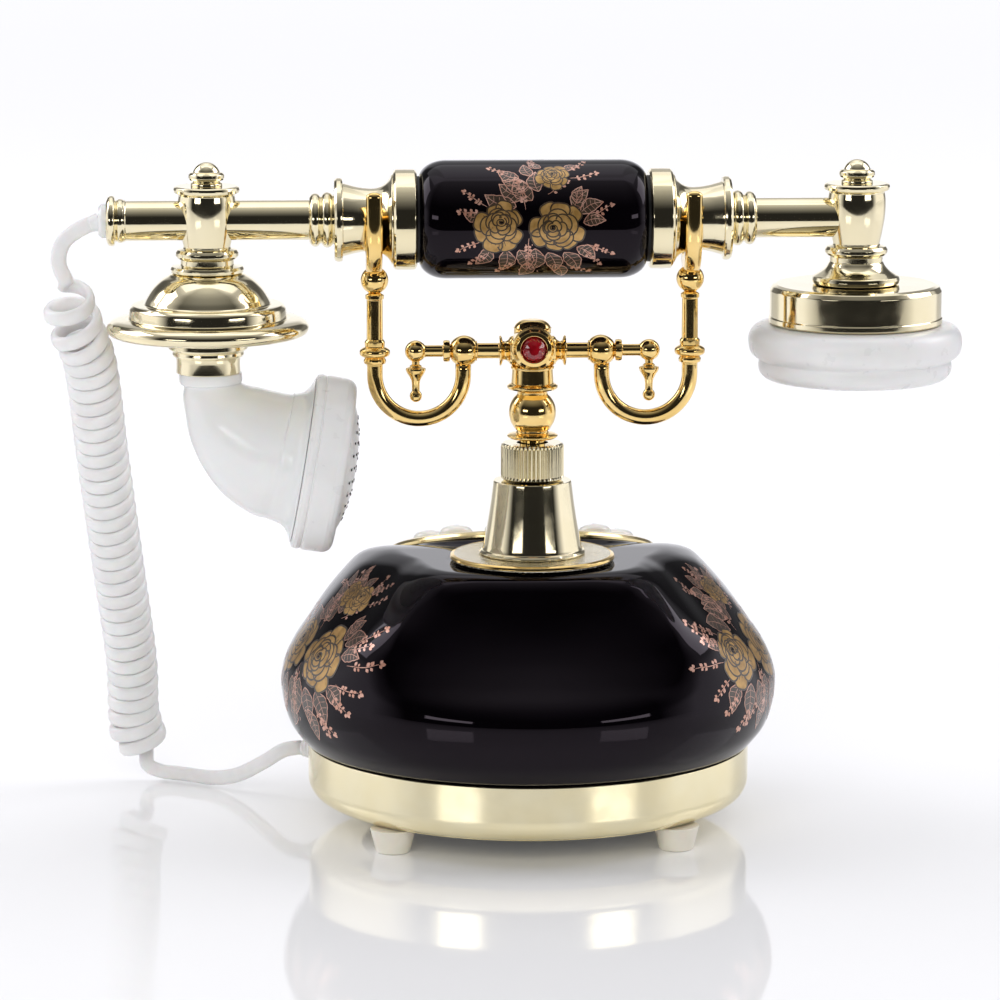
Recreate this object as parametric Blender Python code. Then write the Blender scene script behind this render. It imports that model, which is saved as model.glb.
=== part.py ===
# French-style cradle telephone.
# Metres, +Z up.  Origin: resting plane, under the centre of the round base ring.
# +X points to the mouthpiece end of the handset, +Y to the back, the dial faces -Y.
import math
import bpy
import bmesh
from mathutils import Vector, Matrix
from mathutils.geometry import tessellate_polygon

for ob in list(bpy.data.objects):
    bpy.data.objects.remove(ob, do_unlink=True)

MM = 0.001
GAP = 0.3            # clearance between touching pieces, mm
ROUND = 0.7          # fineness of round pieces

# ---- driving sizes, mm -------------------------------------------------
RING_R = 71.5        # base ring outer radius
RING_TOP = 26.3
RING_BOT = 8.0
FOOT_R = 63.7        # radius the feet stand on
BODY_BOT = 27.5
PLATEAU = 90.2       # flat top of the body
WALL = 3.6           # body wall
STEM_Y = 26.5        # stem axis, behind the ring centre
DIAL_C = (0.0, -38.3, 80.6)
DIAL_TILT = 17.0     # degrees toward the front
DIAL_R = 43.8        # bezel outer radius
BTN_RING = 32.0      # radius of the ring of buttons
BTN_R = 5.4
BTN_PHASE = 15.0
AXIS_Z = 199.4       # handset axis
END_X = 102.3        # mouthpiece and earpiece axes
FORK_X = 50.0
ARM_Z = 157.6

COL = {
    "ceramic": (0.012, 0.010, 0.016, 1), "gold": (0.80, 0.62, 0.30, 1),
    "pale_gold": (0.86, 0.78, 0.55, 1), "cream": (0.86, 0.82, 0.72, 1),
    "white": (0.88, 0.87, 0.85, 1), "red": (0.45, 0.01, 0.02, 1),
    "black": (0.02, 0.02, 0.02, 1), "steel": (0.55, 0.55, 0.56, 1),
    "green": (0.05, 0.22, 0.10, 1),
}
MATS = {}


def mat(key):
    if key not in MATS:
        m = bpy.data.materials.new(key)
        m.use_nodes = True
        b = m.node_tree.nodes["Principled BSDF"]
        b.inputs["Base Color"].default_value = COL[key]
        b.inputs["Metallic"].default_value = 1.0 if key in ("gold", "pale_gold", "steel") else 0.0
        b.inputs["Roughness"].default_value = 0.25
        MATS[key] = m
    return MATS[key]


def add(name, verts, faces, key, at=(0, 0, 0)):
    at = Vector(at)
    me = bpy.data.meshes.new(name)
    me.from_pydata([tuple((c - a) * MM for c, a in zip(v, at)) for v in verts], [], faces)
    bm = bmesh.new()
    bm.from_mesh(me)
    bmesh.ops.recalc_face_normals(bm, faces=bm.faces)
    if bm.calc_volume(signed=True) < 0:
        bmesh.ops.reverse_faces(bm, faces=bm.faces)
    bm.to_mesh(me)
    bm.free()
    ob = bpy.data.objects.new(name, me)
    ob.location = at * MM
    bpy.context.scene.collection.objects.link(ob)
    me.materials.append(mat(key))
    return ob


def axes(direction):
    """Right-handed axes (u, v, w) with w along direction."""
    w = Vector(direction).normalized()
    ref = Vector((0, 0, 1)) if abs(w.z) < 0.9 else Vector((0, 1, 0))
    u = ref.cross(w).normalized()
    return u, w.cross(u), w


def lathe(name, prof, origin, direction, key, seg=32, loop=False, phase=0.0):
    """Turn (radius, height) points about an axis.  Open profiles start and end on the axis."""
    seg = seg if seg < 14 else 2 * round(seg * ROUND / 2)
    u, v, w = axes(direction)
    o = Vector(origin)
    verts, faces, rows = [], [], []
    for r, h in prof:
        if r < 1e-9:
            rows.append([len(verts)])
            verts.append(o + w * h)
        else:
            row = []
            for i in range(seg):
                a = 2 * math.pi * (i + phase) / seg
                row.append(len(verts))
                verts.append(o + w * h + (u * math.cos(a) + v * math.sin(a)) * r)
            rows.append(row)
    pairs = list(zip(rows, rows[1:]))
    if loop:
        pairs.append((rows[-1], rows[0]))
    for a, b in pairs:
        for i in range(seg):
            j = (i + 1) % seg
            if len(a) == 1 and len(b) == 1:
                continue
            if len(a) == 1:
                faces.append((a[0], b[j], b[i]))
            elif len(b) == 1:
                faces.append((a[i], a[j], b[0]))
            else:
                faces.append((a[i], a[j], b[j], b[i]))
    return add(name, verts, faces, key, origin)


def solid(prof):
    """Close an outline on the axis at both ends."""
    return [(0, prof[0][1])] + list(prof) + [(0, prof[-1][1])]


def ball(r, c, n=6, a0=-90.0, a1=90.0):
    """Profile points of a sphere of radius r centred at height c."""
    out = []
    for i in range(n + 1):
        a = math.radians(a0 + (a1 - a0) * i / n)
        out.append((max(0.0, r * math.cos(a)) if abs(abs(a) - math.pi / 2) > 1e-6 else 0.0, c + r * math.sin(a)))
    return out


def boolean(ob, tool, op):
    bpy.context.view_layer.update()
    m = ob.modifiers.new("b", "BOOLEAN")
    m.operation = op
    m.solver = "EXACT"
    m.object = tool
    dg = bpy.context.evaluated_depsgraph_get()
    me = bpy.data.meshes.new_from_object(ob.evaluated_get(dg))
    ob.modifiers.clear()
    old = ob.data
    ob.data = me
    bpy.data.meshes.remove(old)
    bpy.data.objects.remove(tool, do_unlink=True)
    bm = bmesh.new()
    bm.from_mesh(ob.data)
    bmesh.ops.remove_doubles(bm, verts=bm.verts, dist=2e-6)
    bmesh.ops.dissolve_degenerate(bm, edges=bm.edges, dist=2e-6)
    bmesh.ops.triangulate(bm, faces=bm.faces)
    bm.to_mesh(ob.data)
    bm.free()
    return ob


def loft(name, rings, key, closed=False):
    """Join rings of equal length; closed=True makes a loop of rings, otherwise the ends are capped."""
    n = len(rings[0])
    verts = [p for ring in rings for p in ring]
    faces = []
    count = len(rings)
    for k in range(count if closed else count - 1):
        a, b = k * n, ((k + 1) % count) * n
        for i in range(n):
            j = (i + 1) % n
            faces.append((a + i, a + j, b + j, b + i))
    if not closed:
        faces.append(tuple(range(n))[::-1])
        faces.append(tuple((count - 1) * n + i for i in range(n)))
    return add(name, verts, faces, key)


def sweep_rings(path, radii, seg, flat=None):
    """Rings along a path with rotation-minimising frames."""
    pts = [Vector(p) for p in path]
    tans = []
    for i in range(len(pts)):
        a, b = pts[max(0, i - 1)], pts[min(len(pts) - 1, i + 1)]
        tans.append((b - a).normalized())
    u = axes(tans[0])[0]
    rings = []
    for i, (p, t) in enumerate(zip(pts, tans)):
        u = (u - t * u.dot(t)).normalized()
        v = t.cross(u)
        r = radii[i] if isinstance(radii, (list, tuple)) else radii
        rings.append([p + (u * math.cos(2 * math.pi * k / seg) + v * math.sin(2 * math.pi * k / seg)) * r for k in range(seg)])
    return rings


def smooth_path(pts, step):
    """Catmull-Rom through the points, about one point per step."""
    P = [Vector(p) for p in pts]
    P = [P[0] * 2 - P[1]] + P + [P[-1] * 2 - P[-2]]
    out = []
    for i in range(1, len(P) - 2):
        n = max(1, round((P[i + 1] - P[i]).length / step))
        for k in range(n):
            t = k / n
            a, b, c, d = P[i - 1], P[i], P[i + 1], P[i + 2]
            out.append(0.5 * ((2 * b) + (c - a) * t + (2 * a - 5 * b + 4 * c - d) * t * t + (3 * b - a - 3 * c + d) * t ** 3))
    out.append(P[-2])
    return out


# ---- base ring, plate, gasket, feet ------------------------------------
lathe("base_ring", [(71.5, 26.3), (71.5, 14.5), (70.9, 11.6), (69.4, 9.2), (67.0, 8.0), (54.0, 8.0), (54.0, 10.2),
                    (66.2, 10.2), (68.6, 13.2), (68.6, 26.3)], (0, 0, 0), (0, 0, 1), "pale_gold", 48, loop=True)
lathe("base_plate", solid([(66.0, 10.8), (66.0, 12.4)]), (0, 0, 0), (0, 0, 1), "steel", 32)
for i, a in enumerate((45, 135, 225, 315)):
    c = (FOOT_R * math.cos(math.radians(a)), FOOT_R * math.sin(math.radians(a)), 0)
    lathe("foot_%d" % (i + 1), solid([(5.2, 0.0), (5.8, 0.5), (7.3, 7.7)]), c, (0, 0, 1), "cream", 16, phase=0.5)


# ---- ceramic body -------------------------------------------------------
LEV = (26.0, 34.0, 42.0, 47.0, 52.0, 58.0, 65.0, 72.0, 79.0, 86.0, 91.0, 97.0)
# radius by height for: front, front quarter, side, back quarter, ridge, near back, back
ANG = (-90.0, -45.0, 0.0, 30.0, 45.0, 52.0, 60.0, 75.0, 90.0)
RAD = (
    (71.5, 77.6, 79.8, 80.3, 80.6, 80.8, 81.0, 80.6, 79.0, 77.0, 75.0, 72.0),
    (71.5, 77.6, 79.8, 80.2, 79.9, 79.0, 76.5, 73.0, 68.0, 62.0, 57.0, 50.0),
    (71.5, 77.6, 79.8, 80.2, 79.3, 76.8, 72.0, 67.0, 61.0, 54.0, 46.5, 36.0),
    (71.5, 77.6, 79.8, 80.2, 79.2, 77.2, 72.8, 66.6, 60.0, 53.0, 46.5, 39.0),
    (71.5, 77.6, 79.8, 80.1, 79.2, 77.8, 75.6, 70.8, 64.6, 57.4, 51.5, 46.0),
    (71.5, 77.6, 79.8, 80.0, 79.2, 77.2, 74.6, 72.0, 66.6, 60.0, 55.6, 53.0),
    (71.5, 77.6, 79.8, 79.9, 78.8, 75.4, 71.2, 67.6, 64.2, 60.6, 57.8, 56.0),
    (71.5, 77.6, 79.7, 79.8, 78.2, 73.0, 67.6, 63.4, 60.2, 58.0, 56.6, 55.6),
    (71.5, 77.6, 79.6, 79.7, 77.8, 72.2, 66.2, 62.0, 59.2, 57.0, 55.8, 55.0),
)


def cubic(xs, ys, x):
    """Smooth monotone-ish interpolation through (xs, ys)."""
    n = len(xs)
    if x <= xs[0]:
        return ys[0] + (ys[1] - ys[0]) / (xs[1] - xs[0]) * (x - xs[0])
    if x >= xs[-1]:
        return ys[-1] + (ys[-1] - ys[-2]) / (xs[-1] - xs[-2]) * (x - xs[-1])
    i = max(k for k in range(n - 1) if xs[k] <= x)
    h = xs[i + 1] - xs[i]

    def slope(k):
        if k == 0 or k == n - 1:
            j = 0 if k == 0 else n - 2
            return (ys[j + 1] - ys[j]) / (xs[j + 1] - xs[j])
        a = (ys[k] - ys[k - 1]) / (xs[k] - xs[k - 1])
        b = (ys[k + 1] - ys[k]) / (xs[k + 1] - xs[k])
        return 0.0 if a * b <= 0 else 2 * a * b / (a + b)
    t = (x - xs[i]) / h
    return ((1 + 2 * t) * (1 - t) ** 2 * ys[i] + t * (1 - t) ** 2 * h * slope(i)
            + t * t * (3 - 2 * t) * ys[i + 1] + t * t * (t - 1) * h * slope(i + 1))


def side_radius(ang, z):
    """Radius of the side wall at an angle (degrees) folded to -90..90."""
    return cubic(ANG, [cubic(LEV, row, z) for row in RAD], ang)


TILT = math.radians(DIAL_TILT)
DIAL_N = Vector((0, -math.sin(TILT), math.cos(TILT)))
DIAL_O = Vector(DIAL_C)


def smax(a, b, k):
    h = max(k - abs(a - b), 0.0) / k
    return max(a, b) + h * h * k * 0.25


def body_field(p, off=0.0):
    """Signed distance-like value of the body outside skin, shrunk by off."""
    rho = math.hypot(p.x, p.y)
    ang = math.degrees(math.atan2(p.y, abs(p.x))) if rho > 1e-6 else 0.0
    g1 = (rho - side_radius(ang, p.z)) * 0.85 + off
    g2 = p.z - PLATEAU + off
    d = p - DIAL_O
    g3 = d.dot(DIAL_N) + off
    main = smax(smax(g1, g2, 5.0), g3, 4.0)
    radial = (d - DIAL_N * d.dot(DIAL_N)).length
    seat = smax(radial - 44.8 + off, g3, 2.0)
    seat = max(seat, -d.dot(DIAL_N) - 14.0 + off)
    return smax(-smax(-main, -seat, 5.0), g3, 1.2)


def body_rings(off, bottom, seg, levels):
    """Rings from the top pole to the open bottom edge, by bisection from an inner point."""
    c = Vector((0, 0, 50))
    rings = []
    for k in range(1, levels + 1):
        ring = []
        for i in range(seg):
            az = 2 * math.pi * i / seg
            # polar angle: ends exactly where the wall meets the bottom plane
            end = math.atan2(side_radius(0, bottom) - off, bottom - c.z)
            # more rows where the shoulder is
            pol = end * k / levels
            d = Vector((math.cos(az) * math.sin(pol), math.sin(az) * math.sin(pol), math.cos(pol)))
            lo, hi = 5.0, 130.0
            for _ in range(26):
                m = (lo + hi) / 2
                if body_field(c + d * m, off) < 0:
                    lo = m
                else:
                    hi = m
            q = c + d * lo
            if k == levels:
                q = Vector((q.x, q.y, bottom))
            ring.append(q)
        rings.append(ring)
    d = Vector((0, 0, 1))
    lo, hi = 5.0, 130.0
    for _ in range(26):
        m = (lo + hi) / 2
        if body_field(c + d * m, off) < 0:
            lo = m
        else:
            hi = m
    return c + d * lo, rings


def shell(name, seg, outer, inner, key):
    top, ro = body_rings(0.0, BODY_BOT, seg, outer)
    top2, ri = body_rings(WALL, BODY_BOT, seg, inner)
    faces = []
    # a narrow recessed foot that stands on the ring
    ri = ri + [[Vector((p.x, p.y, RING_TOP + GAP)) for p in ri[-1]]]
    ro = ro + [[Vector((p.x * 0.978, p.y * 0.978, BODY_BOT - 0.2)) for p in ro[-1]], [Vector((p.x * 0.978, p.y * 0.978, RING_TOP + GAP)) for p in ro[-1]]]
    verts = [top] + [p for ring in ro for p in ring]
    base = len(verts)
    verts += [top2] + [p for ring in ri for p in ring]
    outer, inner = len(ro), len(ri)
    for s, cnt in ((0, outer), (base, inner)):
        for i in range(seg):
            j = (i + 1) % seg
            faces.append((s, s + 1 + i, s + 1 + j) if s == 0 else (s, s + 1 + j, s + 1 + i))
            for k in range(cnt - 1):
                a, b = s + 1 + k * seg, s + 1 + (k + 1) * seg
                q = (a + i, b + i, b + j, a + j)
                faces.append(q if s == 0 else q[::-1])
    a, b = 1 + (outer - 1) * seg, base + 1 + (inner - 1) * seg
    for i in range(seg):
        j = (i + 1) % seg
        faces.append((a + i, b + i, b + j, a + j))
    return add(name, verts, faces, key)


body = shell("body_shell", 40, 17, 10, "ceramic")
boolean(body, lathe("c1", solid([(39.4, -24.0), (39.4, 12.0)]), DIAL_C, DIAL_N, "black", 32), "DIFFERENCE")
boolean(body, lathe("c2", solid([(6.0, 70.0), (6.0, 100.0)]), (0, STEM_Y, 0), (0, 0, 1), "black", 16), "DIFFERENCE")
boolean(body, lathe("c8", solid([(26.8, 90.3), (26.8, 110.0)]), (0, STEM_Y, 0), (0, 0, 1), "black", 40), "DIFFERENCE")


# ---- dial ---------------------------------------------------------------
def dial(u, v, h):
    """Point on the dial: u to +X, v up the slope, h out of the plate."""
    up = Vector((0, math.cos(TILT), math.sin(TILT)))
    return DIAL_O + Vector((1, 0, 0)) * u + up * v + DIAL_N * h


def btn(k):
    a = math.radians(BTN_PHASE + 30 * k)
    return BTN_RING * math.cos(a), BTN_RING * math.sin(a)


lathe("dial_bezel", [(39.2, 0.3), (DIAL_R, 0.3), (DIAL_R + 0.2, 1.0), (DIAL_R - 0.3, 2.0), (41.6, 2.6), (40.6, 2.2), (40.6, 1.3), (39.2, 1.3)],
      DIAL_C, DIAL_N, "gold", 48, loop=True)
outline = [Vector((40.2 * math.cos(2 * math.pi * i / 36), 40.2 * math.sin(2 * math.pi * i / 36), 0)) for i in range(36)]
holes = []
for k in range(12):
    cx, cy = btn(k)
    holes.append([Vector((cx + (BTN_R + 0.4) * math.cos(2 * math.pi * i / 12), cy + (BTN_R + 0.4) * math.sin(2 * math.pi * i / 12), 0)) for i in range(12)])
loops = [outline] + holes
flat = [p for lp in loops for p in lp]
tris = tessellate_polygon(loops)
n = len(flat)
pv = [dial(p.x, p.y, 1.7) for p in flat] + [dial(p.x, p.y, 2.7) for p in flat]
# the plate is a little smaller than the bezel recess
pf = [tuple(t) for t in tris] + [tuple(n + i for i in reversed(t)) for t in tris]
s = 0
for lp in loops:
    m = len(lp)
    for i in range(m):
        j = (i + 1) % m
        pf.append((s + i, s + j, n + s + j, n + s + i))
    s += m
add("dial_plate", pv, pf, "gold")
lathe("dial_centre", solid([(14.0, 3.0), (14.0, 4.0), (12.5, 5.0), (7.0, 6.0)]), DIAL_C, DIAL_N, "cream", 24)
for k in range(12):
    cx, cy = btn(k)
    lathe("button_%02d" % (k + 1), solid([(6.4, -1.9), (6.4, -0.6), (BTN_R, -0.4), (BTN_R, 4.6), (4.6, 5.8), (2.6, 6.5)]),
          dial(cx, cy, 0), DIAL_N, "white", 12)
lathe("keypad_board", solid([(37.0, -6.2), (37.0, -4.6)]), DIAL_C, DIAL_N, "green", 24)

# ---- stem ---------------------------------------------------------------
S = (0, STEM_Y, 0)
UP = (0, 0, 1)
lathe("stem_flange", [(26.1, 91.0), (26.1, 91.9), (25.2, 92.6), (6.0, 92.6), (6.0, 90.6), (25.4, 90.6)], S, UP, "pale_gold", 32, loop=True)
lathe("stem_cone", [(16.4, 92.9), (16.4, 93.9), (15.5, 95.0), (12.5, 116.2), (5.0, 116.2), (5.0, 92.9)], S, UP, "gold", 32, loop=True)
lathe("knurled_collar", [(9.4, 116.5), (10.0, 117.2), (10.0, 127.6), (9.4, 128.2), (5.0, 128.2), (5.0, 116.5)], S, UP, "gold", 32, loop=True)

# ---- cradle -------------------------------------------------------------
lathe("cradle_column", solid([(4.0, 62.0), (4.0, 129.6), (8.0, 129.8), (8.0, 131.1), (5.2, 131.5), (5.0, 132.6), (6.6, 134.2),
                              (7.5, 137.4), (7.2, 140.2), (5.6, 143.4), (4.9, 144.8), (8.0, 145.5), (8.0, 147.0), (6.6, 147.3),
                              (6.4, 152.0)]), S, UP, "gold", 24)
hub = lathe("hub", solid([(5.9, 152.3), (5.9, 165.6), (5.0, 167.0)]), S, UP, "gold", 24)
boolean(hub, lathe("c3", solid([(6.9, 0.6), (6.9, 8.2), (6.3, 8.6), (6.3, 9.4), (5.0, 10.4), (3.9, 10.4), (3.9, 8.3)]),
                   (0, STEM_Y, 159.3), (0, 1, 0), "gold", 24), "UNION")
lathe("jewel", solid([(3.6, 8.6), (3.6, 10.4), (2.8, 11.6), (1.5, 12.2)]), (0, STEM_Y, 159.3), (0, 1, 0), "red", 16)


def side_name(s):
    return "left" if s < 0 else "right"


for s in (-1, 1):
    nm = side_name(s)
    arm = lathe("arm_" + nm, solid([(4.2, 7.3), (2.9, 8.6), (3.2, 9.4), (4.8, 10.3), (2.45, 10.6), (2.45, 17.6), (3.3, 18.6),
                              (4.1, 20.0), (4.45, 21.8), (4.1, 23.6), (3.1, 25.2), (2.0, 26.0), (3.4, 26.3), (3.4, 28.2),
                              (1.85, 28.5), (1.85, 33.4), (2.7, 34.6), (3.4, 36.9), (2.7, 39.2), (1.2, 40.2)]),
          (0, STEM_Y, ARM_Z), (s, 0, 0), "gold", 16)
    boolean(arm, lathe("c7", solid([(1.3, 156.5), (1.5, 152.9), (3.1, 151.9), (2.9, 150.6), (1.3, 148.2), (1.25, 145.2),
                                   (1.95, 143.9), (1.9, 142.4), (0.9, 141.3)]), (s * 36.9, STEM_Y, 0), UP, "gold", 12), "UNION")
    # U-shaped hook: inner leg, half circle, outer leg
    pts = [(s * 21.9, STEM_Y, 152.8), (s * 21.9, STEM_Y, 150.5)]
    for i in range(13):
        a = math.pi + math.pi * i / 12
        pts.append((s * (35.85 + 13.95 * math.cos(a)), STEM_Y, 150.0 + 13.95 * math.sin(a)))
    rr = [2.5] * len(pts)
    for r, z in ((2.5, 153.6), (3.6, 153.8), (3.6, 155.3), (4.5, 155.9), (4.8, 157.3), (4.5, 158.7), (3.5, 159.3), (3.3, 161.2),
                 (2.4, 161.4), (2.3, 175.6)):
        pts.append((s * 49.8, STEM_Y, z))
        rr.append(r)
    loft("hook_" + nm, sweep_rings(pts, rr, 12), "gold")
    # fork: saddle and two prongs in the front-back plane, standing on a ball
    prof = []
    ri, ro = 10.9, 14.1
    for y, z in ((ro, 199.4), (ro, 208.6), (ro - 0.8, 209.4), (ri + 0.8, 209.4), (ri, 208.6)):
        prof.append((y, z))
    for i in range(11):
        a = -math.pi * i / 10
        prof.append((ri * math.cos(a), AXIS_Z + ri * math.sin(a)))
    prof += [(-ri, 204.6), (-ri - 0.8, 205.4), (-ro + 0.8, 205.4), (-ro, 204.6), (-ro, 199.4)]
    for i in range(1, 8):
        a = math.pi + math.pi * i / 8
        prof.append((ro * math.cos(a), 196.0 + 14.4 * math.sin(a)))
    w = 2.5
    rings = [[(s * FORK_X - w, STEM_Y + y, z) for y, z in prof], [(s * FORK_X + w, STEM_Y + y, z) for y, z in prof]]
    fork = loft("fork_" + nm, rings, "gold")
    boolean(fork, lathe("c4", ball(4.35, 180.3, 8), (s * 49.8, STEM_Y, 0), UP, "gold", 16), "UNION")

# ---- handset ------------------------------------------------------------
H = (0, STEM_Y, AXIS_Z)
PX, NX = (1, 0, 0), (-1, 0, 0)
GRIP = [(12.6 + 6.0 * math.cos(math.radians(a)), 27.4 + 8.5 * math.sin(math.radians(a))) for a in (0, 22, 44, 66, 90)]
lathe("handset_grip", [(10.5, -35.9)] + [(r, -h) for r, h in GRIP[::-1]] + GRIP + [(10.5, 35.9)], H, PX, "ceramic", 36, loop=True)
tube = lathe("handset_tube", [(4.4, -97.0), (6.25, -97.0), (6.25, 97.0), (4.4, 97.0)], H, PX, "gold", 24, loop=True)
for s in (-1, 1):
    boolean(tube, lathe("c5", solid([(9.25, 170.0), (9.25, 230.0)]), (s * END_X, STEM_Y, 0), UP, "gold", 48), "DIFFERENCE")
for s in (-1, 1):
    nm = side_name(s)
    d = (s, 0, 0)
    lathe("grip_ring_" + nm, [(6.6, 36.4), (15.3, 36.4), (15.8, 37.0), (15.8, 43.3), (15.2, 44.0), (6.6, 44.0)], H, d, "gold", 32, loop=True)
    lathe("neck_" + nm, [(6.6, 44.3), (14.2, 44.3), (12.8, 45.3), (10.8, 47.2), (9.9, 49.4), (10.0, 52.0), (10.4, 54.5), (11.0, 57.0),
                         (11.4, 59.6), (13.0, 59.9), (13.2, 61.2), (12.8, 62.4), (7.6, 62.7), (8.5, 64.0), (8.5, 65.2), (7.3, 66.4), (8.2, 67.6),
                         (8.2, 69.0), (7.2, 70.2), (6.6, 70.2)], H, d, "gold", 32, loop=True)

M = (END_X, STEM_Y, 0)
E = (-END_X, STEM_Y, 0)
# mouthpiece end, along the handset axis
stub = lathe("end_tube", solid([(6.25, 105.0), (6.25, 127.9), (6.8, 129.0), (6.8, 130.2), (6.2, 130.7), (7.4, 131.1), (7.9, 132.1), (7.4, 133.3), (6.0, 133.7)]),
             H, PX, "gold", 24)
boolean(stub, lathe("c6", solid([(9.25, 170.0), (9.25, 230.0)]), M, UP, "gold", 48), "DIFFERENCE")
lathe("cord_plug", solid([(5.4, 134.0), (5.4, 135.7), (4.4, 136.3)]), H, PX, "white", 16)

# barrels, finials
BAR = [(10.4, 210.0), (10.4, 208.2), (8.9, 207.6), (9.1, 203.4), (8.7, 198.0), (7.4, 190.8), (9.8, 190.2), (9.8, 187.4), (8.4, 187.1), (8.4, 185.3)]
lathe("mouth_barrel", BAR + [(11.5, 185.1), (11.5, 183.1), (5.0, 183.1), (5.0, 210.0)], M, UP, "gold", 24, loop=True)
lathe("ear_barrel", BAR + [(9.4, 184.9), (11.2, 182.6), (13.4, 180.9), (13.7, 180.5), (13.7, 178.5), (5.0, 178.5), (5.0, 210.0)], E, UP, "gold", 24, loop=True)
FIN = solid([(4.6, 210.3), (4.2, 211.8), (5.6, 212.2), (5.6, 214.4), (4.4, 214.7), (4.1, 216.2), (2.4, 217.5)])
lathe("mouth_finial", FIN, M, UP, "gold", 16)
lathe("ear_finial", FIN, E, UP, "gold", 16)

# mouthpiece bell (disc), collar, horn, cap
lathe("mouth_bell", [(5.5, 182.8), (11.6, 182.8), (13.6, 181.6), (16.5, 179.0), (18.8, 176.2), (20.0, 173.6), (23.6, 173.2), (24.6, 171.8),
                           (24.9, 169.2), (30.2, 168.2), (31.8, 166.6), (31.8, 164.6), (30.6, 163.4), (11.0, 162.0), (11.0, 164.0), (29.2, 165.4), (22.6, 167.4), (22.4, 171.0),
                     (18.0, 171.6), (17.0, 174.6), (14.8, 177.6), (12.4, 179.8), (5.5, 180.8)], M, UP, "pale_gold", 40, loop=True)
lathe("mouth_collar", solid([(12.6, 161.7), (12.6, 158.6), (11.2, 158.0), (11.2, 156.5), (10.1, 156.1), (10.1, 151.3)]), M, UP, "gold", 24)
# horn: sections given as (towards the earpiece, height, radius, direction) in the XZ plane
HORN = ((0.6, 151.0, 9.9, 0.0, -1.0), (0.8, 148.2, 9.9, 0.0, -1.0), (1.2, 147.6, 8.8, 0.06, -1.0), (2.2, 145.2, 10.4, 0.15, -0.99), (4.6, 142.6, 12.6, 0.31, -0.95), (7.4, 138.0, 15.2, 0.47, -0.88),
        (11.0, 132.9, 17.4, 0.64, -0.77), (15.4, 128.4, 19.2, 0.80, -0.60), (20.0, 125.3, 20.2, 0.93, -0.36), (23.6, 123.9, 20.4, 0.985, -0.17),
        (26.4, 123.4, 21.4, 0.985, -0.167), (28.2, 123.1, 23.4, 0.985, -0.167), (29.3, 122.9, 26.0, 0.985, -0.167))


def horn_ring(u, z, r, du, dz, seg):
    c = Vector((END_X - u, STEM_Y, z))
    d = Vector((-du, 0, dz)).normalized()
    e1 = Vector((0, 1, 0))
    e2 = d.cross(e1)
    return [c + (e1 * math.cos(2 * math.pi * i / seg) + e2 * math.sin(2 * math.pi * i / seg)) * r for i in range(seg)]


outer = [horn_ring(*h, 20) for h in HORN]
inner = [horn_ring(h[0], h[1], h[2] - 2.4, h[3], h[4], 20) for h in HORN[::-1]]
loft("mouth_horn", outer + inner, "white", closed=True)
HD = Vector((-0.986, 0, -0.167)).normalized()
HC = Vector((END_X - 29.9, STEM_Y, 122.85))
lathe("mouth_cap", [(21.0, 0.0), (27.4, 0.0), (27.9, 1.0), (27.9, 10.4), (27.0, 12.2), (25.4, 12.8), (22.4, 12.0), (22.4, 9.0), (21.0, 9.0)],
      HC, HD, "white", 36, loop=True)
lathe("mouth_grille", solid([(22.0, 9.4), (22.0, 11.2), (18.5, 13.8), (12.5, 15.6), (6.0, 16.4)]), HC, HD, "white", 28)
lathe("microphone", solid([(11.0, 0.5), (11.0, 8.8)]), HC, HD, "black", 20)

# earpiece
lathe("ear_drum", [(14.5, 178.2), (25.4, 178.2), (26.8, 177.4), (27.2, 176.2), (27.2, 165.9), (25.6, 165.9), (25.6, 175.6), (14.5, 176.6),
                   ], E, UP, "gold", 40, loop=True)
lathe("ear_cap", solid([(19.0, 154.6), (27.0, 156.0), (27.0, 160.0), (24.0, 163.0), (24.0, 165.6), (29.0, 165.6), (32.4, 164.4), (33.7, 161.6),
                        (33.7, 158.0), (32.6, 155.6), (30.4, 154.8), (30.4, 151.0), (28.4, 148.4), (24.5, 148.0), (19.0, 151.5)]), E, UP, "white", 40)
lathe("receiver_capsule", solid([(20.0, 174.8), (20.0, 160.0), (18.0, 156.6)]), E, UP, "black", 20)

# ---- handset cord ---------------------------------------------------------
COIL = [(145.6, 25.5, 178.0), (144.4, 20.0, 166.0), (140.0, 12.0, 152.0), (137.0, -8.0, 117.0), (133.5, -28.0, 80.0), (130.0, -44.0, 45.0), (129.6, -52.0, 24.0), (127.0, -55.0, 10.6)]
TOP_LEAD = [(136.9, 27.0, 199.0), (141.0, 27.0, 197.5), (147.2, 26.6, 193.0), (149.0, 26.0, 186.0), (146.5, 25.8, 180.6)]
LOW_LEAD = [(125.0, -56.6, 4.6), (119.0, -56.6, 2.6), (108.0, -50.0, 2.4), (96.0, -40.5, 5.0), (86.0, -33.0, 11.5), (79.4, -28.4, 16.6), (73.7, -26.8, 17.6)]


def cord_tube(name, pts, r, step, res, key):
    """A round cord or coil outline: a poly curve with a bevel and closed ends."""
    cu = bpy.data.curves.new(name, "CURVE")
    cu.dimensions = "3D"
    cu.bevel_depth = r * MM
    cu.bevel_resolution = res
    cu.use_fill_caps = True
    cu.render_resolution_u = 0
    path = smooth_path(pts, step)
    sp = cu.splines.new("POLY")
    sp.points.add(len(path) - 1)
    for pt, p in zip(sp.points, path):
        pt.co = (p.x * MM, p.y * MM, p.z * MM, 1)
    cu.materials.append(mat(key))
    ob = bpy.data.objects.new(name, cu)
    bpy.context.scene.collection.objects.link(ob)
    return ob


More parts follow.
